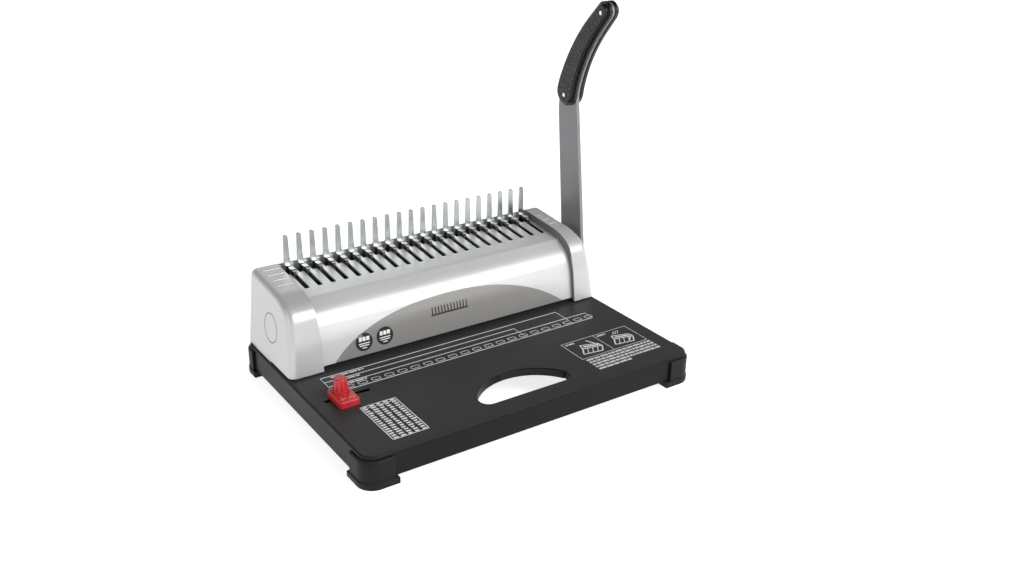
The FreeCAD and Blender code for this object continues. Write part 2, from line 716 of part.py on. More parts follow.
# ---------------------------------------------------------------- punch beam and pins
beam_half = frame_half - 2.0
beam_back = shaft_y + 14.0
beam = box(row_x - beam_half, row_x + beam_half, punch_y - 7, beam_back, beam_bottom, beam_top)
beam = beam.fuse(box(row_x - beam_half, row_x + beam_half, punch_y - 7, punch_y - 5,
                     beam_bottom, beam_top + 5))
beam = beam.fuse(box(row_x - frame_half - frame_thick, row_x + frame_half + frame_thick,
                     tenon_front, tenon_back, beam_bottom, beam_top))
beam = beam.cut([punch_bar(x, 0, beam_bottom - 1, beam_top + 1) for x in hole_xs])
save("punch_beam", beam.removeSplitter())
pin_tip = guide_bottom + 0.5
pin_head = 1.8
pins = []
for x in hole_xs:
    pins.append(joined(punch_bar(x, 0, pin_tip, beam_top), punch_bar(x, 1.0, beam_top, beam_top + pin_head)))
save("punch_pins", *pins)
save("pin_keeper", box(row_x - beam_half + 6, row_x + beam_half - 6, punch_y - 4.5, punch_y + 4.5,
                       beam_top + pin_head, beam_top + pin_head + 2))

# Two springs lift the beam; each is a wire coil between the base and the beam
spring_r = 5.5
spring_wire = 0.8
spring_y = beam_back - 7.5
for name, side in (("left", -1), ("right", 1)):
    height = beam_bottom - base_top
    helix = Part.makeHelix((height - 2 * spring_wire - 0.2) / 5, height - 2 * spring_wire - 0.2, spring_r)
    ring = Part.Wire(Part.makeCircle(spring_wire, FreeCAD.Vector(spring_r, 0, 0), FreeCAD.Vector(0, 1, 0)))
    coil = Part.Wire(helix).makePipeShell([ring], True, True)
    coil.translate(FreeCAD.Vector(row_x + side * (throat_half - 50), spring_y,
                                  base_top + spring_wire + 0.1))
    save("lift_spring_" + name, coil)

# ---------------------------------------------------------------- main shaft and cams
crank_x = frame_half + frame_thick + side_gap          # inner face of a crank
arm_x = crank_x + crank_thick + side_gap               # inner face of a carriage arm
hub_end = arm_x + arm_thick + 1.5
dog_x = hub_end + 3.0
shaft_left = row_x - dog_x - 4.0
dog_r = 1.6
dog_gap = 0.35
lug_length = 5.0
drive_pins = [rod_z(row_x + side * dog_x, shaft_y, dog_r, shaft_z + 1.0, shaft_z + crank_hub_r + 0.6)
              for side in (-1, 1)]
save("main_shaft", rod_x(shaft_y, shaft_z, shaft_r, shaft_left, lever_outer).cut(drive_pins))
save("drive_pins", *drive_pins)

lift_rate = punch_stroke / math.radians(pull_angle)    # millimetres of lift for each radian
cam_rest = beam_drop - cam_gap


def cam_point(x, degrees):
    """Point of the cam, an involute: it lifts a flat beam in step with the turn."""
    angle = math.radians(degrees)
    lift = cam_rest + lift_rate * angle
    y = -lift * math.sin(angle) - lift_rate * math.cos(angle)
    z = -lift * math.cos(angle) + lift_rate * math.sin(angle)
    return FreeCAD.Vector(x, shaft_y + y, shaft_z + z)


def cam(x0, x1):
    points = [cam_point(x0, 10.0 * i) for i in range(10)]
    curve = Part.BSplineCurve()
    curve.interpolate(points)
    heel = FreeCAD.Vector(x0, shaft_y, shaft_z + cam_rest - 0.4)
    toe = FreeCAD.Vector(x0, shaft_y, shaft_z - cam_rest + 0.4)
    wire = Part.Wire([curve.toShape(), Part.LineSegment(points[-1], heel).toShape(),
                      Part.LineSegment(heel, toe).toShape(), Part.LineSegment(toe, points[0]).toShape()])
    lobe = Part.Face(wire).extrude(FreeCAD.Vector(x1 - x0, 0, 0))
    hub = rod_x(shaft_y, shaft_z, cam_rest - 0.4, x0, x1)
    return joined(lobe, hub).cut(rod_x(shaft_y, shaft_z, shaft_r, x0 - 1, x1 + 1))


for name, side in (("left", -1), ("right", 1)):
    middle = row_x + side * (throat_half - cam_inset)
    save("punch_cam_" + name, cam(middle - cam_thick / 2, middle + cam_thick / 2))

# ---------------------------------------------------------------- cranks and drive pins
crank_lean = push_angle / 2
pin_y = shaft_y + crank_r * math.sin(math.radians(crank_lean))
pin_z = shaft_z - crank_r * math.cos(math.radians(crank_lean))
crank_pins = []
for name, side in (("left", -1), ("right", 1)):
    web = bar_x([(shaft_y - crank_hub_r, shaft_z, 0), (shaft_y - crank_eye_r, shaft_z - crank_r, 0),
                 (shaft_y + crank_eye_r, shaft_z - crank_r, 0), (shaft_y + crank_hub_r, shaft_z, 0)],
                *across(side, crank_x, crank_x + crank_thick))
    eye = rod_x(shaft_y, shaft_z - crank_r, crank_eye_r, *across(side, crank_x, crank_x + crank_thick))
    hub = rod_x(shaft_y, shaft_z, crank_hub_r, *across(side, crank_x, hub_end))
    lug = rod_x(shaft_y, shaft_z, crank_hub_r, *across(side, hub_end, hub_end + lug_length))
    lug = lug.common(box(*across(side, hub_end - 1, hub_end + lug_length + 1),
                         shaft_y + dog_r + dog_gap, shaft_y + crank_hub_r + 1,
                         shaft_z + 2.5, shaft_z + crank_hub_r + 1))
    crank = turned(joined(web, eye), crank_lean)
    crank = joined(crank, hub, lug).cut(
        rod_x(shaft_y, shaft_z, shaft_r + running_gap, *across(side, crank_x - 1, hub_end + 9)))
    crank = crank.cut(rod_x(pin_y, pin_z, crank_pin_r, *across(side, crank_x - 1, crank_x + 9)))
    save("crank_" + name, crank)
    crank_pins.append(rod_x(pin_y, pin_z, crank_pin_r, *across(side, crank_x, arm_x + arm_thick + 1.0)))
save("crank_pins", *crank_pins)

# ---------------------------------------------------------------- hook carriage
hook_bottom = frame_top + 2.0
hook_top = hook_bottom + hook_plate_thick
hook_back = prong_y - prong_thick / 2 - 1.6
hook_front = hook_back - 26.5
save("hook_plate", box(row_x - arm_x - arm_thick, row_x + arm_x + arm_thick, hook_front, hook_back,
                       hook_bottom, hook_top))
stem_back = hook_back - 2.5
hooks = []
for x in hole_xs:
    middle = x + slot_offset
    stem = box(middle - hook_stem_width / 2, middle + hook_stem_width / 2,
               stem_back - hook_stem_depth, stem_back, hook_top, hook_head_bottom)
    head = slab_z(rectangle(middle - hook_head_width / 2, middle + hook_head_width / 2,
                            hook_back + 0.4 - hook_head_length, hook_back + 0.4, 1.2),
                  hook_head_bottom, hook_head_bottom + hook_head_thick)
    hooks.append(joined(stem, head))
save("hooks", *hooks)

slot_r = crank_hub_r + arm_slack
pin_slot_r = crank_pin_r + arm_slack
arm_rim = 3.4                   # metal left round the slots
arm_bottom = shaft_z - crank_r - pin_slot_r - arm_rim
arm_step = shaft_z - slot_r - arm_rim - 0.6
arm_back = shaft_y + hook_travel + slot_r + arm_rim
top_front = max(hook_front - 20.0, shaft_y - 4.0)
for name, side in (("left", -1), ("right", 1)):
    x0, x1 = sorted((row_x + side * arm_x, row_x + side * (arm_x + arm_thick)))
    arm = bar_x([
        (pin_y - 9.0, arm_bottom, 4.0), (pin_y + 9.0, arm_bottom, 4.0), (pin_y + 9.0, arm_step, 3.0),
        (arm_back, arm_step, 6.0), (arm_back, hook_bottom, 3.0), (top_front, hook_bottom, 3.0),
        (shaft_y - slot_r - arm_rim, shaft_z + 5.0, 5.0), (shaft_y - slot_r - arm_rim, arm_step, 5.0),
        (pin_y - 9.0, arm_step - 1.5, 2.0)], x0, x1)
    shaft_slot = joined(rod_x(shaft_y, shaft_z, slot_r, x0 - 1, x1 + 1),
                        rod_x(shaft_y + hook_travel, shaft_z, slot_r, x0 - 1, x1 + 1),
                        box(x0 - 1, x1 + 1, shaft_y, shaft_y + hook_travel,
                            shaft_z - slot_r, shaft_z + slot_r))
    low_z = shaft_z - crank_r
    pin_slot = joined(rod_x(pin_y, pin_z, pin_slot_r, x0 - 1, x1 + 1),
                      rod_x(pin_y, low_z, pin_slot_r, x0 - 1, x1 + 1),
                      box(x0 - 1, x1 + 1, pin_y - pin_slot_r, pin_y + pin_slot_r, low_z, pin_z))
    save("carriage_arm_" + name, arm.cut([shaft_slot, pin_slot]))


# ---------------------------------------------------------------- lever
def lever_path(run):
    """Middle of the lever and its heading (degrees forwards) at a distance from the shaft."""
    heading = -lever_lean
    y, z = shaft_y, shaft_z
    bends = ((lever_straight, None, 0.0), (math.radians(neck_bend) * neck_bend_r, neck_bend_r, neck_bend),
             (math.radians(grip_bend) * grip_bend_r, grip_bend_r, grip_bend), (1000.0, None, 0.0))
    for length, radius, bend in bends:
        part = min(run, length)
        if radius is None:
            y -= math.sin(math.radians(heading)) * part
            z += math.cos(math.radians(heading)) * part
        else:
            end = heading + math.degrees(part / radius)
            y -= radius * (math.cos(math.radians(heading)) - math.cos(math.radians(end)))
            z += radius * (math.sin(math.radians(end)) - math.sin(math.radians(heading)))
            heading = end
        run -= part
        if run <= 0:
            break
    return y, z, heading


neck_run = math.radians(neck_bend) * neck_bend_r
grip_run = math.radians(grip_bend) * grip_bend_r
lever_length = lever_straight + neck_run + grip_run + lever_tip_run
grip_start = lever_straight + 7.0


def lever_half_width(run):
    if run < lever_straight:
        return (lever_root_width + (lever_neck_width - lever_root_width) * run / lever_straight) / 2
    share = (run - lever_straight) / (lever_length - lever_straight)
    return (lever_neck_width + (lever_tip_width - lever_neck_width) * share ** 0.8) / 2


def lever_side(x, runs, side, over):
    points = []
    for run in runs:
        y, z, heading = lever_path(run)
        out = side * (lever_half_width(run) + over)
        points.append(FreeCAD.Vector(x, y + out * math.cos(math.radians(heading)),
                                     z + out * math.sin(math.radians(heading))))
    return points


def smooth_edge(points):
    curve = Part.BSplineCurve()
    curve.interpolate(points)
    return curve.toShape()


def end_arc(x, start, end, run, bulge):
    """Rounded end between the two sides; bulge is negative at the lower end."""
    y, z, heading = lever_path(run)
    tip = FreeCAD.Vector(x, y - math.sin(math.radians(heading)) * bulge,
                         z + math.cos(math.radians(heading)) * bulge)
    return Part.Arc(start, tip, end).toShape()


def strap(x0, x1, first, last, over):
    """Slice of the lever's shape between two distances from the shaft, with round ends."""
    runs = [first + (last - first) * i / 12 for i in range(13)]
    back = lever_side(x0, runs, 1, over)
    front = lever_side(x0, runs, -1, over)
    wire = Part.Wire([
        smooth_edge(back), end_arc(x0, back[-1], front[-1], last, lever_half_width(last) + over),
        smooth_edge(front[::-1]), end_arc(x0, front[0], back[0], first, -lever_half_width(first) - over)])
    return Part.Face(wire).extrude(FreeCAD.Vector(x1 - x0, 0, 0))


grip_first = grip_start + lever_half_width(grip_start)
grip_last = lever_length
bar_root = lever_side(lever_x, [0, lever_straight], 1, 0)
bar_back = lever_side(lever_x, [0, lever_straight], -1, 0)
root_arc = end_arc(lever_x, bar_back[0], bar_root[0], 0, -lever_half_width(0))
bend_runs = [lever_straight + (lever_length - lever_straight) * i / 12 for i in range(13)]
back_edge = lever_side(lever_x, bend_runs, 1, 0)
front_edge = lever_side(lever_x, bend_runs, -1, 0)
lever_wire = Part.Wire([
    Part.LineSegment(bar_root[0], back_edge[0]).toShape(), smooth_edge(back_edge),
    end_arc(lever_x, back_edge[-1], front_edge[-1], lever_length, lever_half_width(lever_length)),
    smooth_edge(front_edge[::-1]), Part.LineSegment(front_edge[0], bar_back[0]).toShape(), root_arc])
bar = Part.Face(lever_wire).extrude(FreeCAD.Vector(lever_thick, 0, 0))
bar = bar.cut(rod_x(shaft_y, shaft_z, shaft_r, lever_x - 1, lever_outer + 1))
rivet_runs = (grip_first - 4.0, grip_last - 2.0)
rivet_r = 2.4
rivets = []
holes = []
for run in rivet_runs:
    y, z, heading = lever_path(run)
    rivets.append(rod_x(y, z, rivet_r, lever_x - grip_rim - grip_raise + 0.3, grip_outer - 0.3))
    holes.append(rod_x(y, z, rivet_r, lever_x - 20, lever_outer + 20))
save("lever_arm", bar.cut(holes))
for name, side in (("inner", -1), ("outer", 1)):
    face = lever_x if side < 0 else lever_outer
    rim = strap(*sorted((face, face + side * grip_rim)), grip_first, grip_last, grip_over)
    pad = strap(*sorted((face + side * grip_rim, face + side * (grip_rim + grip_raise))),
                grip_first, grip_last, grip_over - grip_step)
    edges = [e for e in pad.Edges if abs(e.BoundBox.XMin - (face + side * (grip_rim + grip_raise))) < 0.01
             and e.BoundBox.XLength < 0.01]
    pad = pad.makeFillet(1.6, edges)
    save("grip_" + name, joined(rim, pad).cut(holes))
save("grip_rivets", *rivets)

# Hub welded to the lever, and the screw that holds the lever on the shaft
lever_hub_r = 13.0
washer_r = 11.0
washer_thick = 1.6
screw_dome_r = 9.0
screw_head_r = 7.5
hub_start = right_end - end_taper * (shaft_z - lever_hub_r - base_top) + 0.8
lever_hub = rod_x(shaft_y, shaft_z, lever_hub_r, hub_start, lever_x)
save("lever_hub", lever_hub.cut(rod_x(shaft_y, shaft_z, shaft_r, hub_start - 1, lever_x + 1)))
washer = rod_x(shaft_y, shaft_z, washer_r, lever_outer, lever_outer + washer_thick)
screw = Part.makeSphere(screw_dome_r, FreeCAD.Vector(lever_outer - 2.6, shaft_y, shaft_z))
screw = screw.common(rod_x(shaft_y, shaft_z, screw_head_r, lever_outer + washer_thick, lever_outer + 10))
socket_r = 3.0
socket_corners = []
for i in range(6):
    angle = math.radians(60 * i)
    socket_corners.append((shaft_y + socket_r * math.cos(angle), shaft_z + socket_r * math.sin(angle), 0))
socket = bar_x(socket_corners, lever_outer + 3.4, lever_outer + 10)
save("lever_washer", washer)
save("lever_screw", screw.cut(socket))

# ---------------------------------------------------------------- edge guide and clamp knob
guide_front = stud_y - 20.5
guide_back = guide_front + guide_length
block = slab_z([(guide_left, guide_front, 3.0), (guide_right, guide_front, 3.0),
                (guide_right, guide_back, 5.0), (guide_left, guide_back, 5.0)],
               base_top + 0.1, base_top + guide_height)
top_edges = [e for e in block.Edges if e.BoundBox.ZMin > base_top + guide_height - 0.01]
block = block.makeFillet(1.2, top_edges)
tongue_half = guide_slot_width / 2 - 0.3
tongue = slab_z(rectangle(stud_x - guide_tongue / 2, stud_x + guide_tongue / 2,
                          stud_y - tongue_half, stud_y + tongue_half, 1.8), under_sheet, base_top + 2)
stud_hole = rod_z(stud_x, stud_y, stud_r, under_sheet - 1, base_top + guide_height + 1)
boss = rod_z(stud_x, stud_y, boss_r, base_top + guide_height - 1, base_top + guide_height + boss_height)
save("edge_guide", joined(block, boss, tongue).cut(stud_hole))
knob_bottom = base_top + guide_height + boss_height + 0.3
stud_top = knob_bottom + knob_height - 3.4
stud = rod_z(stud_x, stud_y, stud_r, under_sheet - 4, stud_top)
plate = box(stud_x - 8, stud_x + 8, stud_y - 6, stud_y + 6, under_sheet - 2.2, under_sheet - 0.2)
save("guide_stud", joined(stud, plate))
skirt_top = knob_bottom + knob_skirt
skirt = rod_z(stud_x, stud_y, knob_skirt_r, knob_bottom, skirt_top)
knob = Part.makeCone(knob_foot_r, knob_top_r, knob_height - knob_skirt,
                     FreeCAD.Vector(stud_x, stud_y, skirt_top))
flutes = []
for i in range(flute_count):
    angle = math.radians(360 * i / flute_count)
    flutes.append(rod_z(stud_x + knob_foot_r * math.cos(angle), stud_y + knob_foot_r * math.sin(angle),
                        flute_r, skirt_top, knob_bottom + knob_height - knob_crown_r - 1.0))
crown = [e for e in knob.Edges if e.BoundBox.ZMin > knob_bottom + knob_height - 0.01]
knob = joined(knob.makeFillet(knob_crown_r, crown), skirt).cut(flutes)
save("guide_knob", knob.cut(rod_z(stud_x, stud_y, stud_r + running_gap, knob_bottom - 1, stud_top + 0.6)))

# ---------------------------------------------------------------- chip tray and its runners
tray_back = half_d - base_sheet - 1.2
runner_back = half_d - 8.0
tray_x0 = row_x - tray_half
tray_x1 = row_x + tray_half
tray = box(tray_x0, tray_x1, tray_front, tray_back, tray_floor, tray_rim)
tray = tray.cut(box(tray_x0 + tray_wall, tray_x1 - tray_wall, tray_front + tray_wall,
                    tray_back - tray_wall, tray_floor + tray_wall, tray_rim + 1))
tray = tray.fuse(box(tray_x0 - 4.5, tray_x0 + 1, tray_front, tray_back, tray_rim - tray_wall, tray_rim))
tray = tray.fuse(box(tray_x1 - 1, tray_x1 + 4.5, tray_front, tray_back, tray_rim - tray_wall, tray_rim))
door = box(row_x - tray_door_half + 0.5, row_x + tray_door_half - 0.5, tray_back, half_d + 0.4,
           skirt_bottom + 0.5, tray_rim + 1.4)
pull = slab_z([(row_x - 30, half_d - 1, 0), (row_x + 30, half_d - 1, 0), (row_x + 24, half_d + 1.9, 2.0),
               (row_x - 24, half_d + 1.9, 2.0)], tray_floor + 1, tray_floor + 3.4)
save("chip_tray", joined(tray, door, pull))
for name, side in (("left", -1), ("right", 1)):
    lip_top = tray_rim - tray_wall - slide_gap
    runner = joined(
        box(*across(side, tray_half + 1.0, tray_half + 6.2), tray_front, runner_back,
            lip_top - base_sheet, lip_top),
        box(*across(side, tray_half + 5.0, tray_half + 6.2), tray_front, runner_back,
            lip_top - base_sheet, under_sheet),
        box(*across(side, tray_half + 5.0, tray_half + 11.0), tray_front, runner_back,
            under_sheet - base_sheet, under_sheet))
    save("tray_runner_" + name, runner)
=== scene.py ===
import math
import random

import bmesh
import bpy
from mathutils import Matrix, Vector
from mathutils.bvhtree import BVHTree


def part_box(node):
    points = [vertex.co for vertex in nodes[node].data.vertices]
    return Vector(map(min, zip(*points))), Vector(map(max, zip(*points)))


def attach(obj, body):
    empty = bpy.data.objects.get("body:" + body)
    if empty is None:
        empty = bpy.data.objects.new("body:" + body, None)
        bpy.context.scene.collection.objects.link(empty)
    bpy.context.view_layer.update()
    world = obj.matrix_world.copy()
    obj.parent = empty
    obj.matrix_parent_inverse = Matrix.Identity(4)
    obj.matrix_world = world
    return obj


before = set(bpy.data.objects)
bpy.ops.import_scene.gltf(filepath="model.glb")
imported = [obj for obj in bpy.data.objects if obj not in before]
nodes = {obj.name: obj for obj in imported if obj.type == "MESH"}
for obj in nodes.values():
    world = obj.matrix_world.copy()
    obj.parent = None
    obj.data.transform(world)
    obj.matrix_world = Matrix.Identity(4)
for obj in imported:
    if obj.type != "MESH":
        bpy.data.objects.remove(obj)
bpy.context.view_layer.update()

MM = 0.001
scene = bpy.context.scene
scene.view_settings.view_transform = "Standard"

# ------------------------------------------------------------------ camera
# It stands off the machine's front left corner and looks down on it.  Its place is measured
# from the middle of the base pan, on the floor.
base_low, base_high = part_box("base_pan")
base_middle = Vector(((base_low.x + base_high.x) / 2, (base_low.y + base_high.y) / 2, 0))
camera_place = base_middle + Vector((-517.98, -817.49, 532.17)) * MM
camera_yaw = math.radians(34.85)
camera_dip = math.radians(24.17)
camera_roll = math.radians(1.23)

camera_data = bpy.data.cameras.new("camera")
camera_data.sensor_width = 36.0
camera_data.lens = 37.69
camera = bpy.data.objects.new("camera", camera_data)
camera.matrix_world = (Matrix.Translation(camera_place)
                       @ Matrix.Rotation(-camera_yaw, 4, "Z")
                       @ Matrix.Rotation(math.pi / 2 - camera_dip, 4, "X")
                       @ Matrix.Rotation(camera_roll, 4, "Z"))
scene.collection.objects.link(camera)
scene.camera = camera

# ------------------------------------------------------------------ studio
# A pale floor that glows a little, walls that darken towards the ceiling, and large soft lights
# on the camera's side.
room = bpy.data.worlds.new("room")
room.use_nodes = True
room_tree = room.node_tree
room_direction = room_tree.nodes.new("ShaderNodeTexCoord")
room_height = room_tree.nodes.new("ShaderNodeSeparateXYZ")
room_shade = room_tree.nodes.new("ShaderNodeValToRGB")
room_tree.links.new(room_direction.outputs["Generated"], room_height.inputs["Vector"])
room_tree.links.new(room_height.outputs["Z"], room_shade.inputs["Fac"])
room_tree.links.new(room_shade.outputs["Color"], room_tree.nodes["Background"].inputs["Color"])
low_shade, high_shade = room_shade.color_ramp.elements
low_shade.color = (0.78, 0.78, 0.79, 1)
high_shade.color = (0.13, 0.13, 0.135, 1)
high_shade.position = 0.60
scene.world = room

FLOOR_SIZE = 9.0
FLOOR_DROP = 0.0002      # just under the feet
floor_bm = bmesh.new()
bmesh.ops.create_grid(floor_bm, x_segments=2, y_segments=2, size=FLOOR_SIZE)
floor_mesh = bpy.data.meshes.new("floor")
floor_bm.to_mesh(floor_mesh)
floor_bm.free()
floor = bpy.data.objects.new("floor", floor_mesh)
floor.location.z = -FLOOR_DROP
floor_material = bpy.data.materials.new("floor")
floor_material.use_nodes = True
floor_shader = floor_material.node_tree.nodes["Principled BSDF"]
floor_shader.inputs["Base Color"].default_value = (0.86, 0.86, 0.86, 1)
floor_shader.inputs["Roughness"].default_value = 0.9
floor_shader.inputs["Emission Color"].default_value = (1, 1, 1, 1)
floor_shader.inputs["Emission Strength"].default_value = 0.80
floor_mesh.materials.append(floor_material)
scene.collection.objects.link(floor)


LIGHT_AIM = Vector((0, 0, 0.08))


def soft_light(name, place, size, watts):
    """Square area light at a place in metres, turned towards the machine."""
    data = bpy.data.lights.new(name, "AREA")
    data.size = size
    data.energy = watts
    light = bpy.data.objects.new(name, data)
    light.location = place
    light.rotation_mode = "QUATERNION"
    light.rotation_quaternion = (LIGHT_AIM - Vector(place)).to_track_quat("-Z", "Y")
    scene.collection.objects.link(light)


soft_light("key_light", (0.70, -1.55, 1.25), 1.2, 33)
soft_light("left_light", (-1.9, -0.2, 0.6), 1.0, 5)
soft_light("right_light", (1.7, -0.9, 0.9), 0.9, 4)
soft_light("back_light", (0.2, 1.7, 1.0), 1.2, 4)


# ------------------------------------------------------------------ shared finishes
# Four node groups that the materials draw on: a fine grain for the bump, a gloss and a colour
# that wander, and a mask for the faces that look along a direction.
def shader_group(name, inputs, output):
    """Node group with number, vector or colour inputs and one output; returns its parts."""
    group = bpy.data.node_groups.new(name, "ShaderNodeTree")
    for label, kind, value in inputs:
        socket = group.interface.new_socket(label, in_out="INPUT", socket_type=kind)
        if value is not None:
            socket.default_value = value
    group.interface.new_socket(output[0], in_out="OUTPUT", socket_type=output[1])
    return group, group.nodes.new("NodeGroupInput"), group.nodes.new("NodeGroupOutput")


def noise_of(group, source, detail):
    """Noise in a group, as large as its Size input in metres."""
    per_metre = group.nodes.new("ShaderNodeMath")
    per_metre.operation = "DIVIDE"
    per_metre.inputs[0].default_value = 1.0
    noise = group.nodes.new("ShaderNodeTexNoise")
    noise.inputs["Detail"].default_value = detail
    group.links.new(source.outputs["Size"], per_metre.inputs[1])
    group.links.new(source.outputs["Vector"], noise.inputs["Vector"])
    group.links.new(per_metre.outputs[0], noise.inputs["Scale"])
    return noise


VECTOR = ("Vector", "NodeSocketVector", None)

grain_group, group_in, group_out = shader_group(
    "fine_grain", [VECTOR, ("Size", "NodeSocketFloat", 0.001)], ("Height", "NodeSocketFloat"))
grain_noise = noise_of(grain_group, group_in, 3.0)
grain_group.links.new(grain_noise.outputs["Fac"], group_out.inputs["Height"])

gloss_group, group_in, group_out = shader_group(
    "uneven_gloss", [VECTOR, ("Size", "NodeSocketFloat", 0.05), ("Low", "NodeSocketFloat", 0.4),
                     ("High", "NodeSocketFloat", 0.5)], ("Roughness", "NodeSocketFloat"))
gloss_noise = noise_of(gloss_group, group_in, 4.0)
gloss_range = gloss_group.nodes.new("ShaderNodeMapRange")
gloss_range.inputs["From Min"].default_value = 0.3
gloss_range.inputs["From Max"].default_value = 0.7
gloss_group.links.new(gloss_noise.outputs["Fac"], gloss_range.inputs["Value"])
gloss_group.links.new(group_in.outputs["Low"], gloss_range.inputs["To Min"])
gloss_group.links.new(group_in.outputs["High"], gloss_range.inputs["To Max"])
gloss_group.links.new(gloss_range.outputs["Result"], group_out.inputs["Roughness"])

tint_group, group_in, group_out = shader_group(
    "colour_drift", [VECTOR, ("Size", "NodeSocketFloat", 0.05),
                     ("Colour", "NodeSocketColor", None), ("Other", "NodeSocketColor", None)],
    ("Colour", "NodeSocketColor"))
tint_noise = noise_of(tint_group, group_in, 5.0)
tint_mix = tint_group.nodes.new("ShaderNodeMix")
tint_mix.data_type = "RGBA"
tint_group.links.new(tint_noise.outputs["Fac"], tint_mix.inputs["Factor"])
tint_group.links.new(group_in.outputs["Colour"], tint_mix.inputs[6])
tint_group.links.new(group_in.outputs["Other"], tint_mix.inputs[7])
tint_group.links.new(tint_mix.outputs[2], group_out.inputs["Colour"])

facing_group, group_in, group_out = shader_group(
    "faces_along", [VECTOR, ("Direction", "NodeSocketVector", None),
                    ("Low", "NodeSocketFloat", 0.8), ("High", "NodeSocketFloat", 0.95)],
    ("Mask", "NodeSocketFloat"))
facing_dot = facing_group.nodes.new("ShaderNodeVectorMath")
facing_dot.operation = "DOT_PRODUCT"
facing_range = facing_group.nodes.new("ShaderNodeMapRange")
facing_group.links.new(group_in.outputs["Vector"], facing_dot.inputs[0])
facing_group.links.new(group_in.outputs["Direction"], facing_dot.inputs[1])
facing_group.links.new(facing_dot.outputs["Value"], facing_range.inputs["Value"])
facing_group.links.new(group_in.outputs["Low"], facing_range.inputs["From Min"])
facing_group.links.new(group_in.outputs["High"], facing_range.inputs["From Max"])
facing_group.links.new(facing_range.outputs["Result"], group_out.inputs["Mask"])


def use_group(tree, group, vector, **values):
    """Place a shared group in a material and set its values."""
    node = tree.nodes.new("ShaderNodeGroup")
    node.node_tree = group
    for label, value in values.items():
        node.inputs[label].default_value = value
    tree.links.new(vector, node.inputs["Vector"])
    return node


COAT_ROUGHNESS = 0.25
GRAIN_DEPTH = 0.0001
EDGE_SAMPLES = 4


def finish(name, colour, roughness, metallic=0.0, drift=0.10, drift_size=0.03, wander=0.06,
           grain_size=0.0008, grain=0.25, edge=0.0003, coat=0.0, stretch=(1, 1, 1), sparkle=0.0,
           shine=0.5):
    """Painted, moulded or metal finish: drifting colour and gloss, fine grain, soft edges.

    Sizes are in metres.  A finish that sparkles changes colour from grain to grain, by that much,
    and any other one drifts slowly.
    """
    material = bpy.data.materials.new(name)
    material.use_nodes = True
    tree = material.node_tree
    shader = tree.nodes["Principled BSDF"]
    place = tree.nodes.new("ShaderNodeTexCoord")
    turned = tree.nodes.new("ShaderNodeMapping")
    turned.inputs["Scale"].default_value = stretch
    tree.links.new(place.outputs["Object"], turned.inputs["Vector"])
    change, tint_size = (sparkle, grain_size) if sparkle else (drift, drift_size)
    other = [c * (1 - change) for c in colour]
    tint = use_group(tree, tint_group, turned.outputs["Vector"], Size=tint_size,
                     Colour=(*colour, 1), Other=(*other, 1))
    tree.links.new(tint.outputs["Colour"], shader.inputs["Base Color"])
    gloss = use_group(tree, gloss_group, turned.outputs["Vector"], Size=drift_size,
                      Low=roughness - wander / 2, High=roughness + wander / 2)
    tree.links.new(gloss.outputs["Roughness"], shader.inputs["Roughness"])
    shader.inputs["Metallic"].default_value = metallic
    shader.inputs["Specular IOR Level"].default_value = shine
    shader.inputs["Coat Weight"].default_value = coat
    shader.inputs["Coat Roughness"].default_value = COAT_ROUGHNESS
    height = use_group(tree, grain_group, turned.outputs["Vector"], Size=grain_size)
    bump = tree.nodes.new("ShaderNodeBump")
    bump.inputs["Strength"].default_value = grain
    bump.inputs["Distance"].default_value = GRAIN_DEPTH
    soft_edge = tree.nodes.new("ShaderNodeBevel")
    soft_edge.samples = EDGE_SAMPLES
    soft_edge.inputs["Radius"].default_value = edge
    tree.links.new(height.outputs["Height"], bump.inputs["Height"])
    tree.links.new(soft_edge.outputs["Normal"], bump.inputs["Normal"])
    tree.links.new(bump.outputs["Normal"], shader.inputs["Normal"])
    return material


def facing_shade_and_tone(material, direction, colour, low, high):
    """Let faces that look along a direction take another colour: painted light or painted shade by
    how the faces turn to the lights, except on the grip, where it is the grained faces' own tone.

    The change runs from none to all of it between two cosines of the angle to that direction.
    """
    tree = material.node_tree
    shader = tree.nodes["Principled BSDF"]
    under = shader.inputs["Base Color"].links[0].from_socket
    place = tree.nodes.new("ShaderNodeTexCoord")
    mask = use_group(tree, facing_group, place.outputs["Normal"], Direction=direction,
                     Low=low, High=high)
    mix = tree.nodes.new("ShaderNodeMix")
    mix.data_type = "RGBA"
    tree.links.new(mask.outputs["Mask"], mix.inputs["Factor"])
    tree.links.new(under, mix.inputs[6])
    mix.inputs[7].default_value = (*colour, 1)
    tree.links.new(mix.outputs[2], shader.inputs["Base Color"])


def dress(material, *names):
    """Give CAD nodes their finish through their material slots."""
    for name in names:
        for slot in nodes[name].material_slots:
            slot.material = material


def bar(bm, x0, x1, y0, y1, z0, z1):
    """Box between two corners, in metres."""
    verts = bmesh.ops.create_cube(bm, size=1.0)["verts"]
    bmesh.ops.scale(bm, vec=(x1 - x0, y1 - y0, z1 - z0), verts=verts)
    bmesh.ops.translate(bm, vec=((x0 + x1) / 2, (y0 + y1) / 2, (z0 + z1) / 2), verts=verts)


def line_bar(bm, start, end, overrun, width, thickness):
    """Box laid along the line between two points at one height, and a little longer than it."""
    along = end - start
    verts = bmesh.ops.create_cube(bm, size=1.0)["verts"]
    bmesh.ops.scale(bm, vec=(along.length + overrun, width, thickness), verts=verts)
    turn = Matrix.Rotation(math.atan2(along.y, along.x), 4, "Z")
    bmesh.ops.transform(bm, matrix=Matrix.Translation((start + end) / 2) @ turn, verts=verts)


def piece(name, bm, body, material):
    """Make an object of a finished bmesh and let it move with a body."""
    mesh = bpy.data.meshes.new(name)
    bm.to_mesh(mesh)
    bm.free()
    mesh.materials.append(material)
    made = bpy.data.objects.new(name, mesh)
    scene.collection.objects.link(made)
    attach(made, body)


